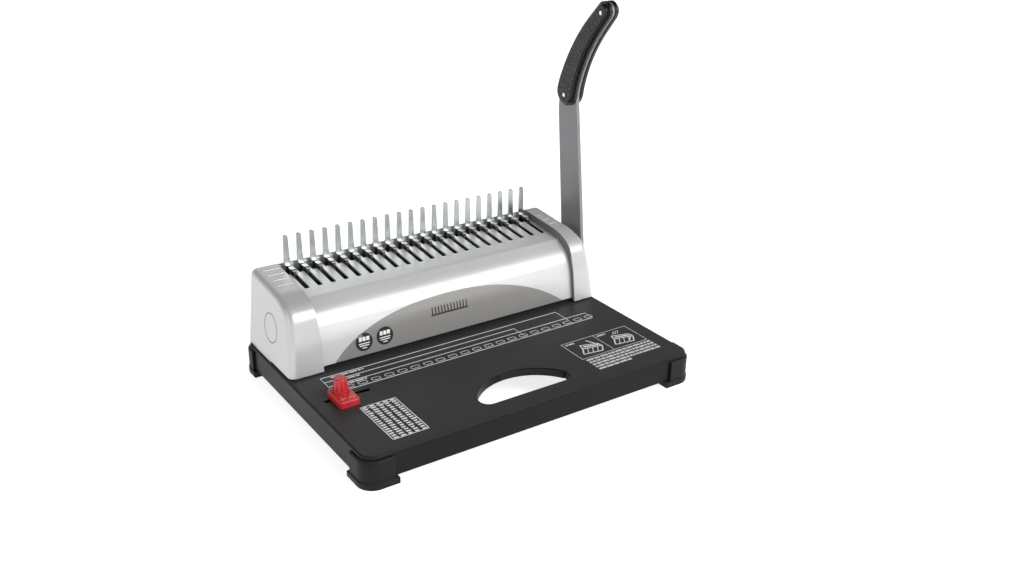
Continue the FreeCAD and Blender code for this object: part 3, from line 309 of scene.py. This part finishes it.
def face_tree(name):
    """A CAD node's faces, for finding where a ray meets them."""
    mesh = nodes[name].data
    return BVHTree.FromPolygons([v.co for v in mesh.vertices], [p.vertices for p in mesh.polygons])


# ------------------------------------------------------------------ base pan
# A black pan of folded sheet steel with satin powder paint: a fine even texture, and a gloss
# that wanders a little.  Its top is painted lighter than its sides: painted light on the top,
# painted shade on the sides.
base_paint = finish("base_paint", (0.004, 0.0038, 0.004), 0.42, grain_size=0.0007, grain=0.35,
                    wander=0.05, edge=0.0008, shine=0.15)
facing_shade_and_tone(base_paint, (0, 0, 1), (0.038, 0.0365, 0.037), 0.6, 0.97)
dress(base_paint, "base_pan")

# A black sheet under the edge guide's slot, so that no light comes up through it: painted shade
# where the slot looks down into the pan
SLOT_SHADE_DROP = 5.4 * MM         # below the pan's top
SLOT_SHADE_THICK = 0.4 * MM
SLOT_SHADE_LEFT = 11 * MM          # beyond the guide's block, to the left
SLOT_SHADE_RIGHT = 34 * MM         # and to the right
SLOT_SHADE_FRONT = 14.0 * MM       # behind the block's front edge
SLOT_SHADE_DEPTH = 30 * MM
# Near black, used for every piece of painted shade and painted shadow below
painted_shade_black = finish("painted_shade_black", (0.006, 0.006, 0.006), 0.8, grain=0.1)
guide_low, guide_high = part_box("edge_guide")
slot_shade_sheet = bmesh.new()
slot_shade_top = base_high.z - SLOT_SHADE_DROP
slot_front = guide_low.y + SLOT_SHADE_FRONT
bar(slot_shade_sheet, guide_low.x - SLOT_SHADE_LEFT, guide_high.x + SLOT_SHADE_RIGHT,
    slot_front, slot_front + SLOT_SHADE_DEPTH, slot_shade_top - SLOT_SHADE_THICK, slot_shade_top)
piece("slot_shade_sheet", slot_shade_sheet, "root", painted_shade_black)

# The hand hole's bowed back wall has a thin black band laid on it as painted shade, swept about
# the bow's centre, which is given in millimetres from the pan's front left corner
HOLE_MIDDLE_X = 183.65
HOLE_MIDDLE_Y = 5.7
HOLE_BACK_R = 58.9 * MM
WALL_FROM = math.radians(31)
WALL_SWEEP = math.radians(118)
WALL_DEPTHS = (7.9, 0.5)      # millimetres below the pan's top
wall_middle = Vector((base_low.x + HOLE_MIDDLE_X * MM, base_low.y + HOLE_MIDDLE_Y * MM,
                      base_high.z))
wall_start = wall_middle + Matrix.Rotation(WALL_FROM, 3, "Z") @ Vector((HOLE_BACK_R, 0, 0))
hole_wall_shade = bmesh.new()
wall_ends = [hole_wall_shade.verts.new(wall_start - Vector((0, 0, depth * MM))) for depth in WALL_DEPTHS]
wall_edge = hole_wall_shade.edges.new(wall_ends)
bmesh.ops.spin(hole_wall_shade, geom=[*wall_ends, wall_edge], cent=wall_middle, axis=(0, 0, 1),
               angle=WALL_SWEEP, steps=24)
piece("hole_wall_shade", hole_wall_shade, "root", painted_shade_black)

# ------------------------------------------------------------------ printed marks on the base
# White ink, screen printed on the paint: the punching ruler, a size table and two drawings with
# lines in front of them.  All the wording is plain blocks.  Places and sizes are in millimetres,
# and places are measured from the pan's front left corner.
ink_white = finish("ink_white", (0.95, 0.95, 0.94), 0.6, grain=0.1, drift=0.10)
INK_THICK = 0.06 * MM
LINE_OVERRUN = 0.6            # of a line's width, so that lines meet at corners
LETTER_GAP = 0.3
WORD_GAP = 0.9


def on_base(x, y):
    """Turn a printed place into metres."""
    return base_low.x + x * MM, base_low.y + y * MM


def ink(bm, x0, y0, x1, y1):
    """Printed bar between two places."""
    left, front = on_base(min(x0, x1), min(y0, y1))
    right, back = on_base(max(x0, x1), max(y0, y1))
    bar(bm, left, right, front, back, base_high.z, base_high.z + INK_THICK)


def stroke(bm, points, width):
    """Printed line through places."""
    for (xa, ya), (xb, yb) in zip(points, points[1:]):
        start = Vector((*on_base(xa, ya), base_high.z + INK_THICK / 2))
        end = Vector((*on_base(xb, yb), base_high.z + INK_THICK / 2))
        line_bar(bm, start, end, width * MM * LINE_OVERRUN, width * MM, INK_THICK)


def words(bm, x0, x1, y, height, rng):
    """A line of printed blocks that stands for wording."""
    x = x0
    while x < x1:
        for _ in range(rng.randint(2, 6)):
            width = rng.uniform(0.8, 1.5)
            if x + width > x1:
                return
            ink(bm, x, y, x + width, y + height)
            x += width + LETTER_GAP
        x += WORD_GAP


def outline(bm, x0, y0, x1, y1, width):
    """Printed rectangle between two places."""
    stroke(bm, [(x0, y0), (x1, y0), (x1, y1), (x0, y1), (x0, y0)], width)


# Ruler: a line and a tick for each of three paper sizes, and two lines round the hole marks
RULER_LEFT = 28.2
RULER_FRONT = 115.8
RULER_LINES = ((147.8, 306.9), (138.6, 245.9), (129.3, 332.9), (RULER_FRONT, 332.9))
RULER_TICKS = ((147.8, RULER_LEFT), (138.6, 245.9), (147.8, 306.9), (129.3, 332.9))
RULER_WORDS = ((143.6, 74.0), (134.3, 64.0), (125.2, 68.0))
RULER_WORDS_LEFT = 38.0
ruler = bmesh.new()
for y, right in RULER_LINES:
    stroke(ruler, [(RULER_LEFT, y), (right, y)], 1.1)
for y, x in RULER_TICKS:
    stroke(ruler, [(x, y), (x, RULER_FRONT)], 0.7)
rng = random.Random(7)
for y, right in RULER_WORDS:
    words(ruler, RULER_WORDS_LEFT, right, y, 2.6, rng)
piece("ruler_print", ruler, "root", ink_white)

# A mark in front of each prong: a small box with its corners cut
PRONG_COUNT = 21
PRONG_HALF = 4.0 * MM
MARK_ACROSS = 4.4             # half of its width and depth
MARK_DEEP = 2.4
MARK_CUT = 0.7
MARK_Y = 120.9
prongs_low, prongs_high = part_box("prongs")
first_hole = prongs_low.x + PRONG_HALF
hole_pitch = (prongs_high.x - prongs_low.x - 2 * PRONG_HALF) / (PRONG_COUNT - 1)
hole_marks = bmesh.new()
for i in range(PRONG_COUNT):
    x = (first_hole + i * hole_pitch - base_low.x) / MM
    left, right = x - MARK_ACROSS, x + MARK_ACROSS
    front, back = MARK_Y - MARK_DEEP, MARK_Y + MARK_DEEP
    rounded = [(left + MARK_CUT, front), (right - MARK_CUT, front), (right, front + MARK_CUT),
               (right, back - MARK_CUT), (right - MARK_CUT, back), (left + MARK_CUT, back),
               (left, back - MARK_CUT), (left, front + MARK_CUT), (left + MARK_CUT, front)]
    stroke(hole_marks, rounded, 0.85)
piece("hole_marks", hole_marks, "root", ink_white)

# Size table: a frame, a row for each comb size under a heading, and blocks for its figures
TABLE_LEFT, TABLE_RIGHT, TABLE_FRONT, TABLE_BACK = 35.4, 71.4, 16.4, 79.4
TABLE_ROWS = 16
TABLE_COLUMNS = (0.0, 0.20, 0.41, 0.60, 0.80, 1.0)      # shares of its width
ROW_GAP = 0.9
table_width = TABLE_RIGHT - TABLE_LEFT
row_height = (TABLE_BACK - TABLE_FRONT) / TABLE_ROWS
heading_y = TABLE_BACK - row_height
size_table = bmesh.new()
outline(size_table, TABLE_LEFT, TABLE_FRONT, TABLE_RIGHT, TABLE_BACK, 0.9)
stroke(size_table, [(TABLE_LEFT, heading_y), (TABLE_RIGHT, heading_y)], 0.6)
for row in range(TABLE_ROWS):
    front = TABLE_FRONT + row * row_height + ROW_GAP
    back = TABLE_FRONT + (row + 1) * row_height - ROW_GAP
    for start, end in zip(TABLE_COLUMNS, TABLE_COLUMNS[1:]):
        left = TABLE_LEFT + start * table_width + rng.uniform(0.9, 1.6)
        right = TABLE_LEFT + end * table_width - rng.uniform(0.7, 2.2)
        ink(size_table, left, front, right, back)
piece("size_table", size_table, "root", ink_white)

# Two drawings of the machine, with its lever up and down, side by side in a frame, with lines
# of wording in front.  Each drawing's points are measured from the front left of its half.
FRAME_LEFT, FRAME_SPLIT, FRAME_RIGHT = 264.9, 305.9, 348.9
FRAME_FRONT, FRAME_BACK = 45.3, 81.7
TITLE_LEFT, TITLE_RIGHT, TITLE_DROP = 3, 14, 5.0
FOOT = ((8, 8), (30, 5), (36, 14), (14, 18), (8, 8))
BODY = ((14, 18), (16, 25), (35, 20), (36, 14))
BODY_SHADE = ((18, 21), (33, 17.5))
FOOT_SHARES = (0.25, 0.5, 0.75)
FOOT_FRONT_RUN, FOOT_BACK_RUN = (22, -3), (22, -4)
LEVER_UP = ((35, 16), (28, 31))
LEVER_DOWN = ((35, 16), (24, 6))
PRONG_STROKE = ((20, 27), (24, 32))
PRONG_SHIFTS = (0, 3, 6)
TEXT_ROWS = 5
TEXT_PITCH = 5.0
TEXT_DROP = 5.6
TEXT_LAST_ROW_SHORT = 40
drawings = bmesh.new()


def sketch(points, left, width):
    """Line in a drawing, through points measured from its half of the frame."""
    stroke(drawings, [(left + x, FRAME_FRONT + y) for x, y in points], width)


outline(drawings, FRAME_LEFT, FRAME_FRONT, FRAME_RIGHT, FRAME_BACK, 0.6)
stroke(drawings, [(FRAME_SPLIT, FRAME_FRONT), (FRAME_SPLIT, FRAME_BACK)], 0.6)
for left in (FRAME_LEFT, FRAME_SPLIT):
    words(drawings, left + TITLE_LEFT, left + TITLE_RIGHT, FRAME_BACK - TITLE_DROP, 2.4, rng)
    sketch(FOOT, left, 1.4)
    for share in FOOT_SHARES:
        across = [(x + run * share, y + rise * share)
                  for (x, y), (run, rise) in ((FOOT[0], FOOT_FRONT_RUN), (FOOT[3], FOOT_BACK_RUN))]
        sketch(across, left, 0.8)
    sketch(BODY, left, 1.3)
    sketch(BODY_SHADE, left, 2.2)
sketch(LEVER_UP, FRAME_LEFT, 1.4)
sketch(LEVER_DOWN, FRAME_SPLIT, 1.4)
for shift in PRONG_SHIFTS:
    sketch([(x + shift, y) for x, y in PRONG_STROKE], FRAME_SPLIT, 0.9)
for row in range(TEXT_ROWS):
    last = row == TEXT_ROWS - 1
    right = FRAME_RIGHT - TEXT_LAST_ROW_SHORT if last else FRAME_RIGHT + 1
    words(drawings, FRAME_LEFT + 2, right, FRAME_FRONT - TEXT_DROP - row * TEXT_PITCH, 3.0, rng)
piece("drawings_print", drawings, "root", ink_white)

# ------------------------------------------------------------------ corner guards
# Moulded rubber feet that wrap the pan's corners, each held by a screw from below.  Their tops
# are painted lighter than their sides: painted light on the tops, painted shade on the sides.
GUARDS = ("corner_guard_front_left", "corner_guard_front_right", "corner_guard_rear_left",
          "corner_guard_rear_right")
guard_rubber = finish("guard_rubber", (0.006, 0.006, 0.0063), 0.50, grain_size=0.0012, grain=0.4,
                      wander=0.10, edge=0.0009, shine=0.18)
facing_shade_and_tone(guard_rubber, (0, 0, 1), (0.035, 0.035, 0.036), 0.55, 0.95)
dress(guard_rubber, *GUARDS)
screw_zinc = finish("screw_zinc", (0.58, 0.59, 0.61), 0.32, metallic=1.0, grain=0.2, edge=0.0004)
dress(screw_zinc, "guard_screws", "cap_screws", "frame_screws", "rear_screws", "lever_screw")

# Thin black bands laid on as painted shade: one in the slot above each guard, and one in the
# groove that runs round each foot
GUARD_R = 13.0 * MM
GUARD_PROUD = 2.4 * MM
SHADE_LIFT = 0.06 * MM         # off the surface behind it
SHADE_BAND_HEIGHT = 0.9 * MM
SHADE_BAND_TRIM = 4.0 * MM          # short of the guard's ends
GROOVE_LOW, GROOVE_HIGH = 6.5 * MM, 7.2 * MM
GROOVE_TRIM = 4.2 * MM


def edges_in(geometry):
    return [e for e in geometry if isinstance(e, bmesh.types.BMEdge)]


def verts_in(geometry):
    return [v for v in geometry if isinstance(v, bmesh.types.BMVert)]


def corner_shade_band(bm, guard, grow, z0, z1, trim):
    """Thin band round a corner of the pan, nearly as long as the guard there."""
    low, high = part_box(guard)
    sx = -1 if "left" in guard else 1
    sy = -1 if "front" in guard else 1
    corner_x = (base_low.x if sx < 0 else base_high.x) - sx * GUARD_R
    corner_y = (base_low.y if sy < 0 else base_high.y) - sy * GUARD_R
    far_x = (high.x if sx < 0 else low.x) + sx * trim
    far_y = (high.y if sy < 0 else low.y) + sy * trim
    radius = GUARD_R + grow
    edge = bm.edges.new([bm.verts.new((far_x, corner_y + sy * radius, z)) for z in (z0, z1)])
    made = bmesh.ops.extrude_edge_only(bm, edges=[edge])["geom"]
    near = verts_in(made)
    bmesh.ops.translate(bm, vec=(corner_x - far_x, 0, 0), verts=near)
    near_edge = [e for e in edges_in(made) if set(e.verts) == set(near)]
    made = bmesh.ops.spin(bm, geom=near + near_edge, cent=(corner_x, corner_y, z0), axis=(0, 0, 1),
                          angle=math.radians(-90) * sx * sy, steps=12)["geom_last"]
    last = bmesh.ops.extrude_edge_only(bm, edges=edges_in(made))["geom"]
    bmesh.ops.translate(bm, vec=(0, far_y - corner_y, 0), verts=verts_in(last))


guard_shade = bmesh.new()
for guard in GUARDS:
    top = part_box(guard)[1].z
    corner_shade_band(guard_shade, guard, SHADE_LIFT, top, top + SHADE_BAND_HEIGHT, SHADE_BAND_TRIM)
    corner_shade_band(guard_shade, guard, GUARD_PROUD + SHADE_LIFT, GROOVE_LOW, GROOVE_HIGH, GROOVE_TRIM)
bmesh.ops.recalc_face_normals(guard_shade, faces=guard_shade.faces[:])
piece("guard_shade_bands", guard_shade, "root", painted_shade_black)

# ------------------------------------------------------------------ frames and bearings
# Zinc-plated sheet steel, cool grey with a faint crystal bloom; the plate, beam and rail under
# the cover are painted near black as painted shade inside its slots; bushes and slide strips of
# natural nylon.
frame_zinc = finish("frame_zinc", (0.60, 0.62, 0.64), 0.34, metallic=0.95, drift=0.25,
                    drift_size=0.006, grain=0.2, edge=0.0004)
dress(frame_zinc, "left_side_frame", "right_side_frame", "front_tie_rod", "paper_stop",
      "pin_keeper", "crank_left", "crank_right", "carriage_arm_left", "carriage_arm_right",
      "guide_stud", "tray_runner_left", "tray_runner_right", "lever_washer")
painted_shade_zinc = finish("painted_shade_zinc", (0.035, 0.035, 0.036), 0.5, metallic=0.6, grain=0.2, edge=0.0004)
dress(painted_shade_zinc, "hook_plate", "punch_beam", "prong_rail")
nylon = finish("nylon", (0.78, 0.77, 0.71), 0.42, grain=0.15, edge=0.0004)
dress(nylon, "shaft_bush_left", "shaft_bush_right", "slide_strip_left", "slide_strip_right")

# ------------------------------------------------------------------ punching parts
# Hardened tool steel, ground along its length and lightly oiled.
tool_steel = finish("tool_steel", (0.46, 0.47, 0.49), 0.28, metallic=1.0, drift=0.2,
                    grain_size=0.002, grain=0.35, stretch=(0.06, 1, 1), edge=0.0002)
dress(tool_steel, "die_plate", "punch_guide", "punch_pins", "main_shaft", "drive_pins",
      "punch_cam_left", "punch_cam_right", "crank_pins")

# ------------------------------------------------------------------ prongs, hooks and springs
# Bright nickel-plated steel: stamped prongs with soft edges, and hooks painted white on top as a
# painted reflection and dark at their sides as painted shade.
bright_steel = finish("bright_steel", (0.44, 0.465, 0.465), 0.24, metallic=1.0, drift=0.12,
                      grain_size=0.0025, grain=0.2, stretch=(1, 1, 0.12), edge=0.0006)
dress(bright_steel, "prongs", "lift_spring_left", "lift_spring_right")
hook_painted_glint = finish("hook_painted_glint", (0.10, 0.10, 0.102), 0.34, metallic=0.6, grain=0.1,
                     edge=0.0003)
facing_shade_and_tone(hook_painted_glint, (0, 0, 1), (0.92, 0.93, 0.93), 0.6, 0.95)
dress(hook_painted_glint, "hooks")

# ------------------------------------------------------------------ centre cover
# One sheet of steel folded over the front and the slotted top, in silver paint with a fine flake.
cover_silver = finish("cover_silver", (0.74, 0.745, 0.75), 0.36, metallic=0.30, sparkle=0.13,
                      grain_size=0.0006, grain=0.12, edge=0.0006, coat=0.1)
dress(cover_silver, "centre_cover")

# ------------------------------------------------------------------ arch plaque and its badges
# A warm grey satin plate glued to the cover's front, with two black discs printed with plain bars
# and a comb drawn in place of a name.
plaque_grey = finish("plaque_grey", (0.30, 0.29, 0.277), 0.42, metallic=0.35,
                     grain_size=0.0006, grain=0.2, edge=0.0003, coat=0.1)
dress(plaque_grey, "arch_plaque")
badge_black = finish("badge_black", (0.012, 0.012, 0.012), 0.45, grain=0.1)
plaque_trees = [face_tree(name) for name in ("arch_plaque", "centre_cover")]
LABEL_LIFT = 0.12 * MM
LABEL_INK_LIFT = 0.20 * MM


def on_plaque(bm, lift):
    """Lay flat work in X and Z against the plaque, or the cover beside it, lifted off a little."""
    for v in bm.verts:
        origin = Vector((v.co.x, base_low.y, v.co.z))
        hits = [tree.ray_cast(origin, Vector((0, 1, 0)))[0] for tree in plaque_trees]
        v.co.y = min(hit.y for hit in hits if hit) - lift
    bmesh.ops.recalc_face_normals(bm, faces=bm.faces[:])


def plaque_bar(bm, x, z, width, height, tilt=0.0):
    """Flat bar in X and Z, cut up so that it follows the plaque's curve."""
    verts = bmesh.ops.create_grid(bm, x_segments=4, y_segments=2, size=0.5)["verts"]
    stand = Matrix.Rotation(math.pi / 2, 4, "X") @ Matrix.Diagonal((width, height, 1, 1))
    lean = Matrix.Rotation(tilt, 4, "Y")
    place = Matrix.Translation((x, base_low.y, z))
    bmesh.ops.transform(bm, matrix=place @ lean @ stand, verts=verts)


# Places are across and up, and bars are a shift and a width, all in millimetres
BADGE_PLACES = ((83.55, 50.3), (106.55, 51.2))
BADGE_R = 9.3 * MM
BADGE_BLOCKS = ((-3.9, 3.0), (0.1, 3.2), (4.2, 3.4))
BADGE_BLOCKS_UP = 3.2
BADGE_BLOCK_HEIGHT = 4.2
BADGE_BLOCK_TILT = 0.12
BADGE_LINES = ((-1.4, 12.0), (-3.6, 10.5), (-6.0, 5.0))
BADGE_LINE_HEIGHT = 1.0
discs = bmesh.new()
badge_ink = bmesh.new()
for across, up in BADGE_PLACES:
    x = base_low.x + across * MM
    z = up * MM
    made = bmesh.ops.create_circle(discs, cap_ends=True, segments=48, radius=BADGE_R)
    stand = Matrix.Translation((x, base_low.y, z)) @ Matrix.Rotation(math.pi / 2, 4, "X")
    bmesh.ops.transform(discs, matrix=stand, verts=made["verts"])
    for shift, width in BADGE_BLOCKS:
        plaque_bar(badge_ink, x + shift * MM, z + BADGE_BLOCKS_UP * MM, width * MM,
                   BADGE_BLOCK_HEIGHT * MM, BADGE_BLOCK_TILT)
    for shift, width in BADGE_LINES:
        plaque_bar(badge_ink, x, z + shift * MM, width * MM, BADGE_LINE_HEIGHT * MM)
bmesh.ops.poke(discs, faces=discs.faces[:])
on_plaque(discs, LABEL_LIFT)
on_plaque(badge_ink, LABEL_INK_LIFT)
piece("badge_discs", discs, "root", badge_black)
piece("badge_ink", badge_ink, "root", ink_white)

# The comb is a spine with teeth standing on it
COMB_TEETH = 12
COMB_PITCH = 3.7
comb_x = base_low.x + 182.8 * MM
comb_z = 62.0 * MM
comb_mark = bmesh.new()
plaque_bar(comb_mark, comb_x, comb_z - 3.4 * MM, 44 * MM, 1.6 * MM)
for i in range(COMB_TEETH):
    shift = (i - (COMB_TEETH - 1) / 2) * COMB_PITCH
    plaque_bar(comb_mark, comb_x + shift * MM, comb_z + 1.0 * MM, 1.3 * MM, 7.4 * MM)
on_plaque(comb_mark, LABEL_LIFT)
piece("comb_mark", comb_mark, "root", badge_black)

# ------------------------------------------------------------------ end caps and rear cover
# Moulded plastic with a pearly silver finish: smooth and softly glossy, a little darker than the
# cover.
HOUSING_LOOK = dict(colour=(0.60, 0.602, 0.606), roughness=0.33, metallic=0.25, sparkle=0.12,
                    grain_size=0.0006, grain=0.10, edge=0.0007, coat=0.2)
housing_silver = finish("housing_silver", **HOUSING_LOOK)
dress(housing_silver, "shaft_plug", "rear_cover")
# The step walls down to the centre cover are painted dark, as painted shade
for name, side in (("left_end_cap", 1), ("right_end_cap", -1)):
    cap_silver = finish(name + "_silver", **HOUSING_LOOK)
    facing_shade_and_tone(cap_silver, (side, 0, 0), (0.20, 0.20, 0.204), 0.90, 0.97)
    dress(cap_silver, name)

# The left cap's four ribs and the right cap's four grooves each have a thin strip laid on them,
# from near the cap's inner face to its reach in millimetres: a painted highlight on each rib and a
# painted shadow in each groove
RIB_COUNT = 4
RIB_PITCH = 11.5
RIB_FIRST = 50.9              # forward of the cap's back
RIB_START = 2.8
STRIP_LIFT = 0.05 * MM
RAY_HEIGHT = 1                # metres, well above the machine
painted_rib_highlight = finish("painted_rib_highlight", (0.95, 0.95, 0.95), 0.25, metallic=0.1, grain=0.05)
cap_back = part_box("left_end_cap")[1].y
for name, side, reach, near, far, paint in (("left_end_cap", -1, 19.4, -0.55, 0.70, painted_rib_highlight),
                                            ("right_end_cap", 1, 13.8, -0.45, 0.45, painted_shade_black)):
    cap_tree = face_tree(name)
    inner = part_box(name)[1 if side < 0 else 0].x
    start, end = sorted((inner + side * RIB_START * MM, inner + side * reach * MM))
    middle = (start + end) / 2
    strips = bmesh.new()
    for i in range(RIB_COUNT):
        rib_y = cap_back - (RIB_FIRST - RIB_PITCH * i) * MM
        made = bmesh.ops.create_grid(strips, x_segments=8, y_segments=1, size=0.5)["verts"]
        bmesh.ops.scale(strips, vec=(end - start, (far - near) * MM, 1), verts=made)
        bmesh.ops.translate(strips, vec=(middle, rib_y + (near + far) / 2 * MM, 0), verts=made)
    for v in strips.verts:
        hit = cap_tree.ray_cast(Vector((v.co.x, v.co.y, RAY_HEIGHT)), Vector((0, 0, -1)))[0]
        v.co.z = hit.z + STRIP_LIFT
    piece("rib_lines_" + name.removesuffix("_end_cap"), strips, "root", paint)

# A dark flat ring round the plug over the shaft's end is painted shade in the gap there; it
# leans as the end does
PLUG_R = 14.5 * MM
PLUG_SHADE_RADII = (PLUG_R - 0.1 * MM, PLUG_R + 0.55 * MM)
END_LEAN = 0.10
plug_low, plug_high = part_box("shaft_plug")
plug_ring = bmesh.new()
for radius in PLUG_SHADE_RADII:
    bmesh.ops.create_circle(plug_ring, segments=64, radius=radius)
bmesh.ops.bridge_loops(plug_ring, edges=plug_ring.edges[:])
plug_lean = Matrix.Identity(4)
plug_lean[0][2] = END_LEAN
plug_stand = Matrix.Rotation(math.pi / 2, 4, "Y")
plug_place = Matrix.Translation((plug_low.x + PLUG_R * END_LEAN - SHADE_LIFT,
                                 (plug_low.y + plug_high.y) / 2, (plug_low.z + plug_high.z) / 2))
bmesh.ops.transform(plug_ring, matrix=plug_place @ plug_lean @ plug_stand,
                    verts=plug_ring.verts[:])
bmesh.ops.recalc_face_normals(plug_ring, faces=plug_ring.faces[:])
piece("plug_gap_shade", plug_ring, "root", painted_shade_black)

# ------------------------------------------------------------------ lever
# A flat steel bar in mid-grey satin paint, bolted to the shaft.
lever_paint = finish("lever_paint", (0.22, 0.225, 0.23), 0.38, metallic=0.25,
                     grain_size=0.0009, grain=0.25, edge=0.0006)
dress(lever_paint, "lever_arm", "lever_hub")

# ------------------------------------------------------------------ grip
# Two black plastic scales, leather-grained on their flat faces and smooth round the edge, held by
# two polished rivets.
FLAT_FROM, FLAT_WHOLE = 0.97, 0.995
LEATHER_PER_METRE = 520.0
LEATHER_DEPTH = 0.0012
for name, side in (("grip_inner", -1), ("grip_outer", 1)):
    grip_black = finish(name + "_black", (0.004, 0.004, 0.004), 0.30, grain=0.05, edge=0.0012,
                        shine=0.35)
    facing_shade_and_tone(grip_black, (side, 0, 0), (0.006, 0.006, 0.0062), FLAT_FROM, FLAT_WHOLE)
    tree = grip_black.node_tree
    place = tree.nodes.new("ShaderNodeTexCoord")
    flat = use_group(tree, facing_group, place.outputs["Normal"], Direction=(side, 0, 0),
                     Low=FLAT_FROM, High=FLAT_WHOLE)
    leather = tree.nodes.new("ShaderNodeTexVoronoi")
    leather.inputs["Scale"].default_value = LEATHER_PER_METRE
    depth = tree.nodes.new("ShaderNodeMath")
    depth.operation = "MULTIPLY"
    grain_bump = tree.nodes.new("ShaderNodeBump")
    grain_bump.inputs["Distance"].default_value = LEATHER_DEPTH
    grain_bump.inputs["Strength"].default_value = 0.8
    shader = tree.nodes["Principled BSDF"]
    tree.links.new(place.outputs["Object"], leather.inputs["Vector"])
    tree.links.new(leather.outputs["Distance"], depth.inputs[0])
    tree.links.new(flat.outputs["Mask"], depth.inputs[1])
    tree.links.new(depth.outputs[0], grain_bump.inputs["Height"])
    tree.links.new(shader.inputs["Normal"].links[0].from_socket, grain_bump.inputs["Normal"])
    tree.links.new(grain_bump.outputs["Normal"], shader.inputs["Normal"])
    dress(grip_black, name)
rivet_bright = finish("rivet_bright", (0.85, 0.85, 0.85), 0.18, metallic=1.0, grain=0.05,
                      edge=0.0008)
dress(rivet_bright, "grip_rivets")

# ------------------------------------------------------------------ edge guide and clamp knob
# Bright red moulded plastic; the block has two raised arrows, and the knob a fluted side.
guide_red = finish("guide_red", (0.60, 0.022, 0.030), 0.36, drift=0.08, grain_size=0.001,
                   grain=0.12, edge=0.0007, coat=0.25)
dress(guide_red, "edge_guide", "guide_knob")
# The arrows are painted a lighter red than the block, as a painted highlight on their raised
# strokes
arrow_highlight_red = finish("arrow_highlight_red", (0.88, 0.16, 0.16), 0.4, grain=0.1, edge=0.0004)
# Each arrow is a shaft and two barbs, in millimetres from the middle of the block's front edge
ARROW_TAIL = 1.4
ARROW_TIP = 7.8
ARROW_BARB = 3.0
ARROW_Y = 6.4
ARROW_DROP = 1.2 * MM         # from the knob's underside to the strokes' middle
arrow_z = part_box("guide_knob")[0].z - ARROW_DROP
block_x = (guide_low.x + guide_high.x) / 2
arrows = bmesh.new()


def arrow_stroke(bm, x0, y0, x1, y1):
    """Raised line on the block."""
    start = Vector((block_x + x0 * MM, guide_low.y + y0 * MM, arrow_z))
    end = Vector((block_x + x1 * MM, guide_low.y + y1 * MM, arrow_z))
    line_bar(bm, start, end, 0.8 * MM, 1.1 * MM, 0.9 * MM)


for side in (-1, 1):
    tip = side * ARROW_TIP
    arrow_stroke(arrows, side * ARROW_TAIL, ARROW_Y, tip, ARROW_Y)
    for turn in (1, -1):
        arrow_stroke(arrows, tip, ARROW_Y, tip - side * ARROW_BARB, ARROW_Y + turn * ARROW_BARB)
piece("guide_arrows", arrows, "edge_guide", arrow_highlight_red)

# ------------------------------------------------------------------ chip tray
# A black moulded tray that slides in from the back.
tray_black = finish("tray_black", (0.03, 0.03, 0.032), 0.5, grain_size=0.001, grain=0.4,
                    edge=0.0006)
dress(tray_black, "chip_tray")
